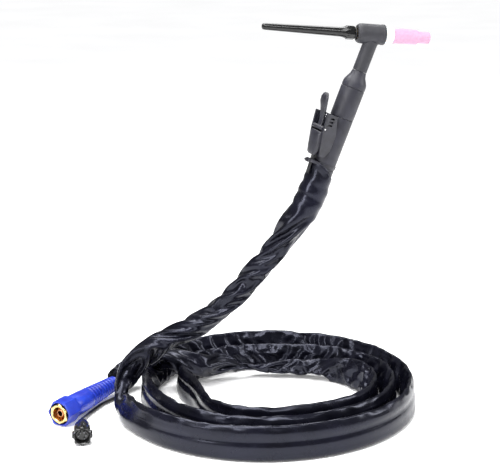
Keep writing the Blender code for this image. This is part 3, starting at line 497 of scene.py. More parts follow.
def teardrop(height, thickness, sides):
    """Outline of the cover lying on edge, evenly spaced, its top first.

    It is round below, has a shallow groove on each side and is thin above.
    """
    round_r = thickness / 2.0
    up = np.linspace(0.0, 1.0, 200)
    level = up * height
    share = np.clip((level - round_r) / (height - round_r), 0.0, 1.0)
    low = np.sqrt(np.clip(1.0 - (1.0 - np.minimum(level, round_r) / round_r) ** 2, 0.0, 1.0))
    groove = 1.0 - GROOVE_DEPTH * np.exp(-((up - GROOVE_HEIGHT) / GROOVE_SPREAD) ** 2)
    half = round_r * low * groove * (1.0 - share ** RIDGE_TAPER) + RIDGE_HALF * share
    side = np.stack([half, level - height / 2.0], axis=1)
    loop = np.vstack([side[::-1], side[1:] * (-1.0, 1.0)])
    loop = np.vstack([loop, loop[:1]])
    return evenly(loop, distances(loop), sides, closed=True)


class Fabric:
    """A tube of cloth on a grid of rings, eased into place by its own edge lengths."""

    def __init__(self, places):
        self.count, self.sides = places.shape[:2]
        self.at = places.reshape(-1, 3).copy()
        self.before = self.at.copy()
        self.index = np.arange(self.count * self.sides).reshape(self.count, self.sides)
        self.ties = []

    def tie(self, first, second, rest, stiffness, push_only=False):
        """Pairs of points that want to lie rest apart, or no nearer than that."""
        self.ties.append((first.ravel(), second.ravel(), np.broadcast_to(rest, first.shape).ravel(),
                          stiffness, push_only))

    def weave(self, along, around, stiff_bend):
        """Edges along and around the tube, both diagonals, and ties across two and five cells."""
        next_round = np.roll(self.index, -1, axis=1)
        past_round = np.roll(self.index, -2, axis=1)
        columns = np.arange(self.sides)
        rows = np.arange(self.count)
        wide = np.repeat(around[:, None], self.sides, axis=1)
        long = np.repeat(along[:, None], self.sides, axis=1)
        for odd in (0, 1):
            pick = columns % 2 == odd
            self.tie(self.index[:, pick], next_round[:, pick], wide[:, pick], 1.0)
            pick = rows[:-1][rows[:-1] % 2 == odd]
            self.tie(self.index[pick], self.index[pick + 1], long[pick], 1.0)
            slant = np.hypot(long[pick], wide[pick])
            for shift in (-1, 1):
                aside = np.roll(self.index, shift, axis=1)
                self.tie(self.index[pick], aside[pick + 1], slant, SHEAR_STIFFNESS)
            pick = rows[:-2][rows[:-2] // 2 % 2 == odd]
            self.tie(self.index[pick], self.index[pick + 2], 2.0 * long[pick], stiff_bend, True)
            pick = rows[:-5][rows[:-5] // 5 % 2 == odd]
            self.tie(self.index[pick], self.index[pick + 5], FOLD_SPAN * long[pick], stiff_bend, True)
            pick = columns // 2 % 2 == odd
            across = np.linalg.norm(self.at[past_round] - self.at[self.index], axis=2)
            self.tie(self.index[:, pick], past_round[:, pick], across[:, pick], stiff_bend)

    def step(self, drag):
        """One round of easing: drift on, then mend every tie."""
        moved = self.at + drag * (self.at - self.before)
        self.before = self.at
        for first, second, rest, stiffness, push_only in self.ties:
            way = moved[second] - moved[first]
            length = np.sqrt((way * way).sum(axis=1))
            share = 0.5 * stiffness * (1.0 - rest / np.maximum(length, 1e-9))
            if push_only:
                share = np.minimum(share, 0.0)
            way *= share[:, None]
            moved[first] += way
            moved[second] -= way
        self.at = moved

    def grid(self):
        """The points as rings."""
        return self.at.reshape(self.count, self.sides, 3)


def smooth_noise(rng, count, sides, along, around):
    """Soft random values on the grid, with features of that many cells."""
    rows = np.fft.fftfreq(count)[:, None] * along
    columns = np.fft.fftfreq(sides)[None, :] * around
    soft = np.fft.ifft2(np.fft.fft2(rng.standard_normal((count, sides)))
                        * np.exp(-2.0 * (rows ** 2 + columns ** 2))).real
    return soft / soft.std()


def stretch_rows(settings):
    """How many rings the riser and the way out of the coil have."""
    return len(smooth_line(RISER, settings.cell)), len(smooth_line(TAIL, settings.cell))


def cover_line(settings):
    """Centreline of the covered cable, lower where the cover is pressed."""
    line = smooth_line(RISER + coil_turns() + TAIL, settings.cell)
    line[:, 2] -= settings.width / 2.0 * pressed(settings, line)
    return line


def pressed(settings, line):
    """Share of its height that each ring of the coil gives up.

    Inner turns sink a little at the back, and all give way under the cable's way out.
    """
    start, tail_rows = stretch_rows(settings)
    end = len(line) - tail_rows
    away = line[:, :2] - np.array(CROSSING)
    share = PRESSED * np.exp(-(away ** 2).sum(axis=1) / PRESS_REACH ** 2)
    angle = np.unwrap(np.arctan2(line[start:, 1] - COIL_CENTRE[1], line[start:, 0] - COIL_CENTRE[0]))
    angle += math.tau * round((COIL_TURN_START - angle[0]) / math.tau)
    seen = angle + COIL_SKEW
    turn = (seen - COIL_LEFT) / math.tau
    sink = BACK_SINK * np.maximum(turn - BACK_FIRST, 0.0) * np.maximum(np.sin(seen), 0.0) ** 1.5
    share[start:] = np.maximum(share[start:], sink)
    share[:start] = 0.0
    return share * (1.0 - ramp(np.arange(len(line)), end - PRESS_FADES[0], end - PRESS_FADES[1]))


def ramp_from(place, run, stretch):
    """A ramp over a stretch that is measured from a place on the run."""
    return ramp(run, place + stretch[0], place + stretch[1])


def cover_plan(settings, line):
    """Starting rings of the cover, the lengths its fabric wants and how each ring lies.

    along and around are those lengths, sideways and upwards each ring's own axes. on_edge is 1
    where the cover lies flat on edge, and calm is 1 where it stays smooth.
    """
    sides = settings.sides
    cell = settings.cell
    count = len(line)
    run = np.linspace(0.0, cell * (count - 1), count)
    tangent = np.gradient(line, axis=0)
    tangent /= np.linalg.norm(tangent, axis=1)[:, None]
    sideways = np.cross(tangent, (0.0, 0.0, 1.0))
    sideways /= np.linalg.norm(sideways, axis=1)[:, None]
    upwards = np.cross(sideways, tangent)
    riser_rows, tail_rows = stretch_rows(settings)
    riser_end = riser_rows * cell
    tail_start = run[-1] - tail_rows * cell
    on_handle = 1.0 - ramp(run, *LEAVES_HANDLE)
    on_edge = ramp_from(riser_end, run, ONTO_EDGE) - ramp_from(tail_start, run, OFF_EDGE)
    on_riser = (1.0 - on_handle) * (1.0 - ramp_from(riser_end, run, LOSES_SPARE))
    on_tail = ramp_from(tail_start, run, GAINS_SPARE)
    on_grip = settings.hem_radius + (settings.handle_radius - settings.hem_radius) * ramp(run, *WIDENS)
    radius = (settings.riser_radius + (on_grip - settings.riser_radius) * on_handle
              + SWELL * ramp_from(riser_end, run, SWELLS)
              - SLIM * on_tail * (1.0 - ramp_from(run[-1], run, INTO_BOOT)))
    twist = math.tau * TWIST * ramp(run, TWISTS_FROM, riser_end + TWISTS_TO)
    angle = (np.pi / 2.0 - np.arange(sides) / sides * math.tau)[None, :] - twist[:, None]
    circles = np.stack([np.cos(angle), np.sin(angle)], axis=2) * radius[:, None, None]
    edge = teardrop(settings.width, settings.thickness, sides)
    shift = np.rint(twist / math.tau * sides).astype(int)
    edges = np.stack([np.roll(edge, s, axis=0) for s in shift])
    shape = circles * (1.0 - on_edge)[:, None, None] + edges * on_edge[:, None, None]
    squeeze = pressed(settings, line)[:, None]
    shape[..., 1] *= 1.0 - squeeze
    shape[..., 0] *= 1.0 + PRESSED_WIDENS * squeeze
    rings = line[:, None, :] + shape[..., :1] * sideways[:, None] + shape[..., 1:] * upwards[:, None]
    gaps = np.linalg.norm(np.diff(rings, axis=0), axis=2)
    outer = np.append(gaps.max(axis=1), cell)
    along = np.where(on_edge > 0.5, np.minimum(outer, cell * LONGEST) * TAKEN_IN, np.full(count, cell))
    along = np.pad(along, EVEN_ROWS // 2, mode="edge")
    along = np.convolve(along, np.ones(EVEN_ROWS) / EVEN_ROWS, mode="valid")
    along *= 1.0 + SPARE_ALONG_RISER * on_riser + SPARE_ALONG_TAIL * on_tail
    around = np.linalg.norm(np.roll(rings, -1, axis=1) - rings, axis=2).mean(axis=1)
    around *= 1.0 + SPARE_AROUND * on_riser
    calm = on_edge[:, None] * ramp(shape[..., 0], 0.0, OUTER_FACE)
    return SimpleNamespace(run=run, rings=rings, along=along, around=around, sideways=sideways,
                           upwards=upwards, on_edge=on_edge, calm=calm)


def spokes(grid, centre, tangent):
    """Each point's way from a centreline, square to the run, and its length."""
    reach = grid - centre[:, None]
    reach -= (reach * tangent[:, None]).sum(axis=2, keepdims=True) * tangent[:, None]
    return reach, np.linalg.norm(reach, axis=2)


def buckle_cover(settings, line):
    """Let the cover settle round its cable: it buckles where a bend leaves it too long."""
    plan = cover_plan(settings, line)
    rings = plan.rings
    on_handle = 1.0 - ramp(plan.run, *HELD)
    calm = np.maximum(plan.calm, on_handle[:, None] * CALM_ON_HANDLE)
    count, sides = rings.shape[:2]
    rng = np.random.default_rng(SEED)
    middle = rings.mean(axis=1, keepdims=True)
    outward = rings - middle
    outward /= np.maximum(np.linalg.norm(outward, axis=2, keepdims=True), 1e-9)
    rough = smooth_noise(rng, count, sides, *ROUGH_CELLS)
    rings = rings + outward * (ROUGH * rough * (1.0 - calm))[..., None]
    wrinkles = smooth_noise(rng, count, sides, *WRINKLE_CELLS)
    start = rings + outward * (WRINKLE * wrinkles * on_handle[:, None])[..., None]
    cloth = Fabric(start)
    cloth.weave(plan.along, plan.around, STIFFNESS)
    tangent = np.cross(plan.upwards, plan.sideways)
    inner_limit = np.full(count, settings.cable_radius) + (HANDLE_LIMIT - settings.cable_radius) * on_handle
    drop = (settings.width / 2.0 - settings.cable_radius - CABLE_LIFT) * plan.on_edge
    cable = line - drop[:, None] * plan.upwards
    held = np.r_[:HELD_ROWS, count - HELD_ROWS:count]
    for _ in range(settings.steps):
        cloth.step(DRIFT)
        grid = cloth.grid()
        grid += CENTRING * (middle - grid.mean(axis=1, keepdims=True))
        shift = grid - start
        even = (np.roll(shift, 1, axis=0) + np.roll(shift, -1, axis=0)) / 2.0
        grid += CALMING * (calm * (1.0 - on_handle[:, None]))[..., None] * (even - shift)
        grid -= HANDLE_HOLD * on_handle[:, None, None] * (grid - start)
        reach, far = spokes(grid, cable, tangent)
        push = np.maximum(inner_limit[:, None] - far, 0.0) / np.maximum(far, 1e-9)
        grid += push[..., None] * reach
        reach, far = spokes(grid, line, tangent)
        pull = np.maximum(far - OUTER_LIMIT, 0.0) / np.maximum(far, 1e-9)
        grid -= pull[..., None] * reach
        np.maximum(grid[..., 2], FLOOR_Z + FLOOR_GAP, out=grid[..., 2])
        grid[held] = start[held]
        cloth.at = grid.reshape(-1, 3)
    return cloth.grid()


def slanted(rings, cell):
    """The rings with the upper hem lying aslant, highest on the switch's side."""
    rows = round(HEM_ZONE / cell)
    out = rings.copy()
    at = np.arange(rows) * cell
    for column in range(rings.shape[1]):
        away = math.tau * column / rings.shape[1] + SWITCH_ROLL
        start = HEM_SLANT * (1.0 - math.cos(away)) / 2.0
        along = start + at * (HEM_ZONE - start) / HEM_ZONE
        for axis in range(3):
            out[:rows, column, axis] = np.interp(along, at, rings[:rows, column, axis])
    return out


def cover_mesh(rings, line):
    """One closed mesh from the rings, with a turned-in hem at each end."""
    first = rings[0] - rings[0].mean(axis=0)
    last = rings[-1] - rings[-1].mean(axis=0)
    ahead = (line[3] - line[0]) / np.linalg.norm(line[3] - line[0])
    back = (line[-4] - line[-1]) / np.linalg.norm(line[-4] - line[-1])
    slim_first = rings[0] - first * (HEM_THICK / HEM_RADII[0])
    slim_last = rings[-1] - last * (HEM_THICK / HEM_RADII[1])
    stack = np.vstack([slim_first[None] + HEM_TUCK * ahead, slim_first[None] + HEM_FOLD * ahead, rings,
                       slim_last[None] + HEM_FOLD * back, slim_last[None] + HEM_TUCK * back])
    count, sides = stack.shape[:2]
    index = np.arange(count * sides).reshape(count, sides)
    after = np.roll(index, -1, axis=1)
    faces = np.stack([index[:-1], after[:-1], after[1:], index[1:]], axis=2).reshape(-1, 4).tolist()
    faces.append(index[0][::-1].tolist())
    faces.append(index[-1].tolist())
    return closed_skin("cable_cover", stack.reshape(-1, 3).tolist(), faces)


class TORCH_OT_cover(bpy.types.Operator):
    """Make the covered cable with the connector it ends in"""

    bl_idname = "torch.cover"
    bl_label = "Covered cable"

    def execute(self, context):
        settings = context.scene.torch_cover
        line = cover_line(settings)
        rings = slanted(buckle_cover(settings, line), settings.cell)
        mesh = cover_mesh(rings, line)
        mesh.materials.append(leatherette())
        cover = show("cable_cover", mesh, "torch")
        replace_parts(cover, "cable_cover_top", "cable_riser", "cable_coil", "cable_tail")
        ends = make_boot() + dress({
            "connector_nut": (brass(), 0.0003),
            "connector_nipple": (copper(), 0.0002),
            "connector_ferrule": (brass(), 0.0002),
        })
        return {"FINISHED"}


# ---- connector's boot --------------------------------------------------------------------------
NUT_LENGTH = 0.0200
NUT_WELL = 0.0143                    # radius of the hollow round the nut
HOSE_WELL = 0.0065                   # radius of the hollow round the hose
BOOT_START = NUT_LENGTH * 0.6        # the plain CAD boot starts this far behind the connector's front
HEAD_FLATS = 0.0150                  # half the width of the six-sided head over its flats
HEAD_LENGTH = 0.0270
CORNER_REACH = 1.145                 # of the head's corners over its flats; a sharp one has 1.155
BODY_RADIUS = 0.0146
RIBS_FROM = 0.0620                   # behind the connector's front
RIB_COUNT = 9
RIB_PITCH = 0.0062
BOOT_SHARP_FROM = math.radians(38.0)


def connector_place():
    """Matrix of the connector: its front at the origin, facing along Z, with X down."""
    turn = Euler((0.0, math.radians(90.0), CONNECTOR_AIM)).to_matrix().to_4x4()
    return Matrix.Translation(CONNECTOR_HEAD) @ turn


def boot_mesh():
    """The boot as one closed skin: six-sided head, round body and slim end; the ribs round that end are made
    apart.
    """
    back = BOOT_START + BOOT_LENGTH
    ribs_to = RIBS_FROM + RIB_COUNT * RIB_PITCH
    # radius over the flats, distance behind the front, and 1 where the skin is six-sided
    profile = [
        (HOSE_WELL, back, 0.0), (0.0086, back, 0.0), (0.0095, back - 0.0010, 0.0),
        (0.0084, ribs_to, 0.0), (0.0112, RIBS_FROM, 0.0), (0.0132, RIBS_FROM - 0.0004, 0.0),
        (0.0138, RIBS_FROM - 0.0020, 0.0), (0.0142, RIBS_FROM - 0.0100, 0.0),
        (BODY_RADIUS, HEAD_LENGTH + 0.0120, 0.0), (BODY_RADIUS, HEAD_LENGTH + 0.0012, 0.0),
        (BODY_RADIUS - 0.0004, HEAD_LENGTH + 0.0004, 0.3), (HEAD_FLATS, HEAD_LENGTH - 0.0012, 0.9),
        (HEAD_FLATS, HEAD_LENGTH - 0.0030, 1.0), (HEAD_FLATS, 0.0030, 1.0), (HEAD_FLATS, 0.0018, 1.0),
        (HEAD_FLATS - 0.0004, 0.0010, 1.0), (NUT_WELL + 0.0002, 0.0010, 0.2), (NUT_WELL, 0.0014, 0.0),
        (NUT_WELL, NUT_LENGTH + 0.0004, 0.0), (0.0105, NUT_LENGTH + 0.0004, 0.0),
        (0.0105, NUT_LENGTH + 0.0200, 0.0), (HOSE_WELL, NUT_LENGTH + 0.0260, 0.0),
    ]
    sides = 72
    angle = np.arange(sides) / sides * math.tau
    across = (angle + math.pi / 6.0) % (math.pi / 3.0) - math.pi / 6.0
    flat = np.minimum(1.0 / np.cos(across), CORNER_REACH)
    verts = []
    for radius, behind_front, cornered in profile:
        reach = radius * (1.0 - cornered + cornered * flat)
        verts += [(r * math.cos(a), r * math.sin(a), -behind_front) for r, a in zip(reach, angle)]
    index = np.arange(len(verts)).reshape(len(profile), sides)
    after = np.roll(index, -1, axis=1)
    below = np.roll(index, -1, axis=0)
    faces = np.stack([index, after, np.roll(after, -1, axis=0), below], axis=2).reshape(-1, 4)
    mesh = closed_skin("boot_skin", verts, faces.tolist())
    mesh.transform(connector_place())
    mesh.set_sharp_from_angle(angle=BOOT_SHARP_FROM)
    return mesh


def socket_of(tree, name, kind, **settings):
    """A named input of a Geometry Nodes tree."""
    made = tree.interface.new_socket(name, in_out="INPUT", socket_type=kind)
    for key, value in settings.items():
        setattr(made, key, value)
    return made


def rib_tree():
    """Geometry Nodes tree: rings along Z that shrink evenly."""
    tree = bpy.data.node_groups.new("boot_rib_rings", "GeometryNodeTree")
    socket_of(tree, "Count", "NodeSocketInt", default_value=RIB_COUNT, min_value=2)
    socket_of(tree, "Pitch", "NodeSocketFloat", default_value=RIB_PITCH)
    socket_of(tree, "First Radius", "NodeSocketFloat", default_value=0.0120)
    socket_of(tree, "Last Share", "NodeSocketFloat", default_value=0.78)
    socket_of(tree, "Rib Height", "NodeSocketFloat", default_value=0.0016)
    socket_of(tree, "Rib Width", "NodeSocketFloat", default_value=0.0023)
    socket_of(tree, "Finish", "NodeSocketMaterial")
    tree.interface.new_socket("Ribs", in_out="OUTPUT", socket_type="NodeSocketGeometry")
    given = tree.nodes.new("NodeGroupInput").outputs
    step = add(tree, "ShaderNodeCombineXYZ", {"Z": given["Pitch"]})
    line = add(tree, "GeometryNodeMeshLine", {"Count": given["Count"], "Offset": step.outputs[0]})
    ring = add(tree, "GeometryNodeCurvePrimitiveCircle", {"Resolution": 64, "Radius": given["First Radius"]})
    section = add(tree, "GeometryNodeCurvePrimitiveCircle", {"Resolution": 14, "Radius": 1.0})
    flatten = add(tree, "ShaderNodeCombineXYZ", {"X": given["Rib Height"], "Y": given["Rib Width"], "Z": 1.0})
    oval = add(tree, "GeometryNodeTransform", {"Geometry": section.outputs[0], "Scale": flatten.outputs[0]})
    rib = add(tree, "GeometryNodeCurveToMesh", {"Curve": ring.outputs[0], "Profile Curve": oval.outputs[0]})
    place = add(tree, "GeometryNodeInputIndex")
    last = add(tree, "ShaderNodeMath", {0: given["Count"], 1: 1.0}, operation="SUBTRACT")
    shrink = add(tree, "ShaderNodeMapRange", {"Value": place.outputs[0], "From Min": 0.0,
                                              "From Max": last.outputs[0], "To Min": 1.0,
                                              "To Max": given["Last Share"]})
    size = add(tree, "ShaderNodeCombineXYZ", {"X": shrink.outputs[0], "Y": shrink.outputs[0], "Z": 1.0})
    rings = add(tree, "GeometryNodeInstanceOnPoints", {"Points": line.outputs[0], "Instance": rib.outputs[0],
                                                       "Scale": size.outputs[0]})
    real = add(tree, "GeometryNodeRealizeInstances", {"Geometry": rings.outputs[0]})
    soft = add(tree, "GeometryNodeSetShadeSmooth", {"Geometry": real.outputs[0]})
    coat = add(tree, "GeometryNodeSetMaterial", {"Geometry": soft.outputs[0], "Material": given["Finish"]})
    tree.links.new(coat.outputs[0], tree.nodes.new("NodeGroupOutput").inputs[0])
    return tree


def grown(name, tree, place, **values):
    """The plain mesh that a Geometry Nodes tree makes, moved to its place."""
    holder = bpy.data.objects.new(name + "_holder", bpy.data.meshes.new(name + "_holder"))
    bpy.context.scene.collection.objects.link(holder)
    modifier = holder.modifiers.new("grow", "NODES")
    modifier.node_group = tree
    for part in tree.interface.items_tree:
        if part.in_out == "INPUT" and part.name in values:
            modifier[part.identifier] = values[part.name]
    holder.update_tag()
    now = holder.evaluated_get(bpy.context.evaluated_depsgraph_get())
    mesh = bpy.data.meshes.new_from_object(now)
    mesh.name = name
    bpy.data.objects.remove(holder)
    mesh.transform(place)
    return mesh


def make_boot():
    """The blue boot and its ribs, in place of the plain CAD one."""
    skin = boot_mesh()
    skin.materials.append(blue_rubber())
    boot = show("connector_boot_skin", skin, body_of("connector_boot"))
    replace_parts(boot, "connector_boot")
    start = connector_place() @ Matrix.Translation((0.0, 0.0, -RIBS_FROM - RIB_PITCH / 2.0))
    ribs = grown("boot_ribs", rib_tree(), start @ Matrix.Rotation(math.pi, 4, "X"), Finish=blue_rubber())
    return [boot, show("connector_boot_ribs", ribs, body_of("connector_boot"))]


# ---- control lead ------------------------------------------------------------------------------
LEAD_CELL = 0.0025                   # spacing of the points along the lead
PIN_COUNT = 5


class TORCH_OT_lead(bpy.types.Operator):
    """Make the control lead with its plug"""

    bl_idname = "torch.lead"
    bl_label = "Control lead"

    def execute(self, context):
        settings = context.scene.torch_lead
        line = smooth_line(LEAD[::-1], LEAD_CELL)
        curve = bpy.data.curves.new("control_lead_jacket", "CURVE")
        curve.dimensions = "3D"
        curve.bevel_depth = settings.radius
        curve.bevel_resolution = 4
        curve.use_fill_caps = True
        spline = curve.splines.new("POLY")
        spline.points.add(len(line) - 1)
        for point, place in zip(spline.points, line):
            point.co = (*place, 1.0)
        spline.use_smooth = True
        curve.materials.append(lead_jacket())
        lead = show("control_lead_jacket", curve, "torch")
        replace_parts(lead, "control_lead")
        resin = phenolic()
        plug = dress({
            "plug_body": (resin, 0.0003),
            "plug_coupling_ring": (resin, 0.0005),
            "plug_insert": (resin, 0.0002),
            "plug_gland": (resin, 0.0003),
            **{f"plug_pin_{k + 1}": (tungsten(), 0.0001) for k in range(PIN_COUNT)},
        })
        return {"FINISHED"}


# ---- small switch pieces -----------------------------------------------------------------------
# the switch's own axes: X away from the handle, Z along it
SWITCH_TURN = Matrix.Rotation(LEAN, 4, "Y") @ Matrix.Rotation(math.pi + SWITCH_ROLL, 4, "Z")
LINER_MIDDLE = (0.0232, 0.0100, -0.0106)
TIE_INNER = 0.0157                   # the band's own inner radius
TIE_DRAWN = 0.0153                   # its inner radius where it is drawn in
TIE_KEPT = 0.5                       # share of its thickness that it keeps there
TIE_FROM = math.radians(35.0)        # away from the switch, it starts to be drawn in here
TIE_TO = math.radians(60.0)          # and is drawn in from here on


def slim_tie(tie):
    """Draw the tie's band close to the handle where it doesn't hold the switch's lead."""
    back = SWITCH_TURN.inverted()
    for point in tie.data.vertices:
        place = back @ point.co
        around = abs(math.atan2(place.y, place.x))
        radius = math.hypot(place.x, place.y)
        wanted = TIE_DRAWN + (radius - TIE_INNER) * TIE_KEPT
        share = float(ramp(around, TIE_FROM, TIE_TO))
        scale = 1.0 + share * (wanted / radius - 1.0)
        point.co = SWITCH_TURN @ Vector((place.x * scale, place.y * scale, place.z))


def liner_tree():
    """Geometry Nodes tree: a thin plate with evenly spaced ribs along Z."""
    tree = bpy.data.node_groups.new("ribbed_liner", "GeometryNodeTree")
    socket_of(tree, "Plate", "NodeSocketVector", default_value=(0.0080, 0.0007, 0.0134))
    socket_of(tree, "Rib", "NodeSocketVector", default_value=(0.0076, 0.0009, 0.0008))
    socket_of(tree, "Count", "NodeSocketInt", default_value=6, min_value=2)
    socket_of(tree, "Pitch", "NodeSocketFloat", default_value=0.0021)
    socket_of(tree, "Rib Offset", "NodeSocketFloat", default_value=-0.0006)
    socket_of(tree, "Finish", "NodeSocketMaterial")
    tree.interface.new_socket("Liner", in_out="OUTPUT", socket_type="NodeSocketGeometry")
    given = tree.nodes.new("NodeGroupInput").outputs
    plate = add(tree, "GeometryNodeMeshCube", {"Size": given["Plate"]})
    bar = add(tree, "GeometryNodeMeshCube", {"Size": given["Rib"]})
    step = add(tree, "ShaderNodeCombineXYZ", {"Z": given["Pitch"]})
    last = add(tree, "ShaderNodeMath", {0: given["Count"], 1: -1.0}, operation="ADD")
    low = add(tree, "ShaderNodeMath", {0: last.outputs[0], 1: given["Pitch"]}, operation="MULTIPLY")
    half = add(tree, "ShaderNodeMath", {0: low.outputs[0], 1: -0.5}, operation="MULTIPLY")
    start = add(tree, "ShaderNodeCombineXYZ", {"Y": given["Rib Offset"], "Z": half.outputs[0]})
    line = add(tree, "GeometryNodeMeshLine", {"Count": given["Count"], "Start Location": start.outputs[0],
                                              "Offset": step.outputs[0]})
    bars = add(tree, "GeometryNodeInstanceOnPoints", {"Points": line.outputs[0],
                                                      "Instance": bar.outputs[0]})
    both = add(tree, "GeometryNodeJoinGeometry")
    tree.links.new(bars.outputs[0], both.inputs[0])
    tree.links.new(plate.outputs[0], both.inputs[0])
    real = add(tree, "GeometryNodeRealizeInstances", {"Geometry": both.outputs[0]})
    coat = add(tree, "GeometryNodeSetMaterial", {"Geometry": real.outputs[0], "Material": given["Finish"]})
    tree.links.new(coat.outputs[0], tree.nodes.new("NodeGroupOutput").inputs[0])
    return tree


def line_cheeks():
    """Ribbed liners behind the slots of both cheeks."""
    tree = liner_tree()
    x, y, z = LINER_MIDDLE
    near = Matrix.Translation((x, y, z))
    far = Matrix.Rotation(math.pi, 4, "Z") @ Matrix.Translation((-x, y, z))
    for name, place in (("near_cheek_liner", near), ("far_cheek_liner", far)):
        mesh = grown(name, tree, SWITCH_TURN @ place, Finish=moulded_nylon())
        show(name, mesh, body_of("switch_housing"))


# ---- head, handle and switch -------------------------------------------------------------------
class TORCH_OT_head(bpy.types.Operator):
    """Dress the torch head, its back cap and its gas nozzle"""

    bl_idname = "torch.head"
    bl_label = "Torch head"

    def execute(self, context):
        dress({
            "torch_head_body": (moulded_rubber(), 0.0006),
            "head_core": (brass(), 0.0002),
            "cup_gasket": (ptfe(), 0.0005),
            "collet_body": (copper(), 0.0002),
            "collet": (copper(), 0.0),
            "electrode": (tungsten(), 0.0),
            "nozzle": (alumina(), 0.0004),
            "back_cap": (phenolic(), 0.0003),
            "back_cap_insert": (brass(), 0.0002),
            "back_cap_o_ring": (moulded_rubber(), 0.0),
            "neck_tube": (grip_rubber(), 0.0),
        })
        return {"FINISHED"}


class TORCH_OT_handle(bpy.types.Operator):
    """Dress the handle's sleeves and what they cover"""

    bl_idname = "torch.handle"
    bl_label = "Handle"

    def execute(self, context):
        grip = grip_rubber()
        dress({
            "handle_nose": (grip, 0.0008),
            "handle_front": (grip, 0.0005),
            "handle_rear": (grip, 0.0005),
            "handle_tail": (grip, 0.0005),
            "cable_fitting": (brass(), 0.0002),
            "power_cable": (lead_jacket(), 0.0),
        })
        slim_tie(dressed("cable_tie", moulded_nylon(), 0.0002))
        return {"FINISHED"}


class TORCH_OT_switch(bpy.types.Operator):
    """Dress the lever switch"""

    bl_idname = "torch.switch"
    bl_label = "Lever switch"

    def execute(self, context):
        nylon = moulded_nylon()
        dress({
            "switch_housing": (nylon, 0.0005),
            "switch_cover": (nylon, 0.0008),
            "trigger_lever": (nylon, 0.0007),
            "lever_pin": (steel(), 0.0002),
            "microswitch": (nylon, 0.0003),
            "switch_plunger": (nylon, 0.0001),
            "switch_lead": (lead_jacket(), 0.0),
        })
        spring = dressed("lever_spring", steel(), 0.0)
        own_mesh(spring)
        line_cheeks()
        return {"FINISHED"}


# ---- studio ------------------------------------------------------------------------------------
FLOOR_HALF = 20.0
CAMERA_PLACE = (-0.4383, -1.5132, 0.2489)
CAMERA_TILT = math.radians(75.71)
CAMERA_TURN = math.radians(-12.0)
SENSOR_WIDTH = 36.0                  # in millimetres, as the lens
CEILING_SPREAD = math.radians(40.0)
FLOOR_GLOW = 0.17
AIR_GLOW = 0.25


def panel_light(name, place, aim, size, watts):
    """A soft white rectangular light at place, facing aim."""
    light = bpy.data.lights.new(name, "AREA")
    light.shape = "RECTANGLE"
    light.size, light.size_y = size
    light.energy = watts
    lamp = bpy.data.objects.new(name, light)
    lamp.location = place
    lamp.rotation_euler = (Vector(aim) - Vector(place)).to_track_quat("-Z", "Y").to_euler()
    bpy.context.scene.collection.objects.link(lamp)
    return lamp


def soft_sun(name, turn, strength):
    """Even light from a wide bright ceiling."""
    light = bpy.data.lights.new(name, "SUN")
    light.angle = CEILING_SPREAD
    light.energy = strength
    lamp = bpy.data.objects.new(name, light)
    lamp.rotation_euler = turn
    bpy.context.scene.collection.objects.link(lamp)
    return lamp


def floor_finish(colour):
    """Cast opal acrylic board, faintly lit from below: pale and even."""
    return mottled("opal_acrylic_board", ("#f6f6f6", "#fbfbfb"), 400.0, (0.75, 0.9), 3.0, 0.01,
                   emission_color=(*colour, 1.0), emission_strength=FLOOR_GLOW)


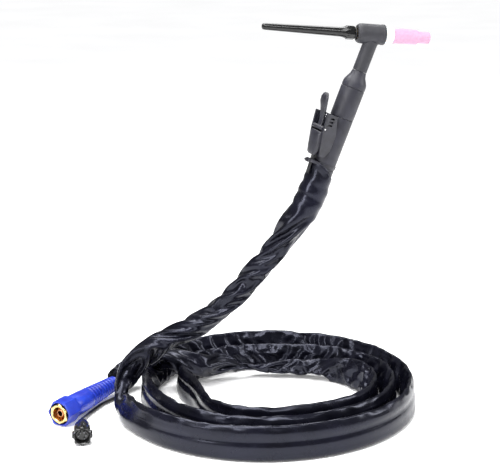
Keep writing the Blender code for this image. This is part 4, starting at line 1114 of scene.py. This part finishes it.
class TORCH_OT_studio(bpy.types.Operator):
    """Make the floor, the soft lights and the camera"""

    bl_idname = "torch.studio"
    bl_label = "Studio"

    def execute(self, context):
        settings = context.scene.torch_studio
        reach = FLOOR_HALF
        mesh = bpy.data.meshes.new("studio_floor")
        mesh.from_pydata([(-reach, -reach, FLOOR_Z), (reach, -reach, FLOOR_Z), (reach, reach, FLOOR_Z),
                          (-reach, reach, FLOOR_Z)], [], [(0, 1, 2, 3)])
        mesh.materials.append(floor_finish(settings.glow))
        floor = bpy.data.objects.new("studio_floor", mesh)
        context.scene.collection.objects.link(floor)
        lamps = [
            panel_light("overhead_panel", (-0.25, 0.55, 1.05), (-0.1, 0.0, -0.3), (1.6, 0.4), 24.0),
            panel_light("left_panel", (-1.35, -0.95, 0.55), (-0.15, 0.0, -0.30), (0.3, 1.1), 14.0),
            panel_light("right_panel", (1.30, -0.35, 0.60), (-0.05, 0.0, -0.2), (0.30, 1.2), 14.0),
            panel_light("front_strip", (-0.30, -0.78, 0.78), (-0.10, -0.10, -0.36), (1.3, 0.10), 9.0),
            soft_sun("ceiling_glow", (math.radians(18.0), math.radians(-14.0), 0.0), 2.3),
        ]
        world = bpy.data.worlds.new("studio_air")
        world.use_nodes = True
        sky = world.node_tree.nodes["Background"]
        sky.inputs["Color"].default_value = linear("#f7f8fb")
        sky.inputs["Strength"].default_value = AIR_GLOW
        context.scene.world = world
        camera_data = bpy.data.cameras.new("studio_camera")
        camera_data.lens = settings.lens
        camera_data.sensor_width = SENSOR_WIDTH
        camera = bpy.data.objects.new("studio_camera", camera_data)
        camera.location = CAMERA_PLACE
        camera.rotation_euler = (CAMERA_TILT, 0.0, CAMERA_TURN)
        context.scene.collection.objects.link(camera)
        context.scene.camera = camera
        context.scene.view_settings.view_transform = "Standard"
        return {"FINISHED"}


# ---- add-on ------------------------------------------------------------------------------------
OPERATORS = (TORCH_OT_studio, TORCH_OT_cover, TORCH_OT_lead, TORCH_OT_head, TORCH_OT_handle,
             TORCH_OT_switch)


class TORCH_PT_looks(bpy.types.Panel):
    """Lists the torch's settings and operators"""

    bl_label = "Torch looks"
    bl_space_type = "VIEW_3D"
    bl_region_type = "UI"
    bl_category = "Torch"

    def draw(self, context):
        scene = context.scene
        for group in (scene.torch_cover, scene.torch_lead, scene.torch_studio):
            box = self.layout.box()
            for name in group.__annotations__:
                box.prop(group, name)
        for operator in OPERATORS:
            self.layout.operator(operator.bl_idname)


CLASSES = (CoverSettings, LeadSettings, StudioSettings, *OPERATORS, TORCH_PT_looks)


def register():
    """Make the settings and operators known to Blender."""
    for part in CLASSES:
        bpy.utils.register_class(part)
    bpy.types.Scene.torch_cover = PointerProperty(type=CoverSettings)
    bpy.types.Scene.torch_lead = PointerProperty(type=LeadSettings)
    bpy.types.Scene.torch_studio = PointerProperty(type=StudioSettings)


def unregister():
    """Take them away again."""
    del bpy.types.Scene.torch_cover
    del bpy.types.Scene.torch_lead
    del bpy.types.Scene.torch_studio
    for part in reversed(CLASSES):
        bpy.utils.unregister_class(part)


def main():
    """Build the looks in order."""
    register()
    bpy.ops.torch.studio()
    bpy.ops.torch.cover()
    bpy.ops.torch.lead()
    bpy.ops.torch.head()
    bpy.ops.torch.handle()
    bpy.ops.torch.switch()


if __name__ == "__main__":
    main()
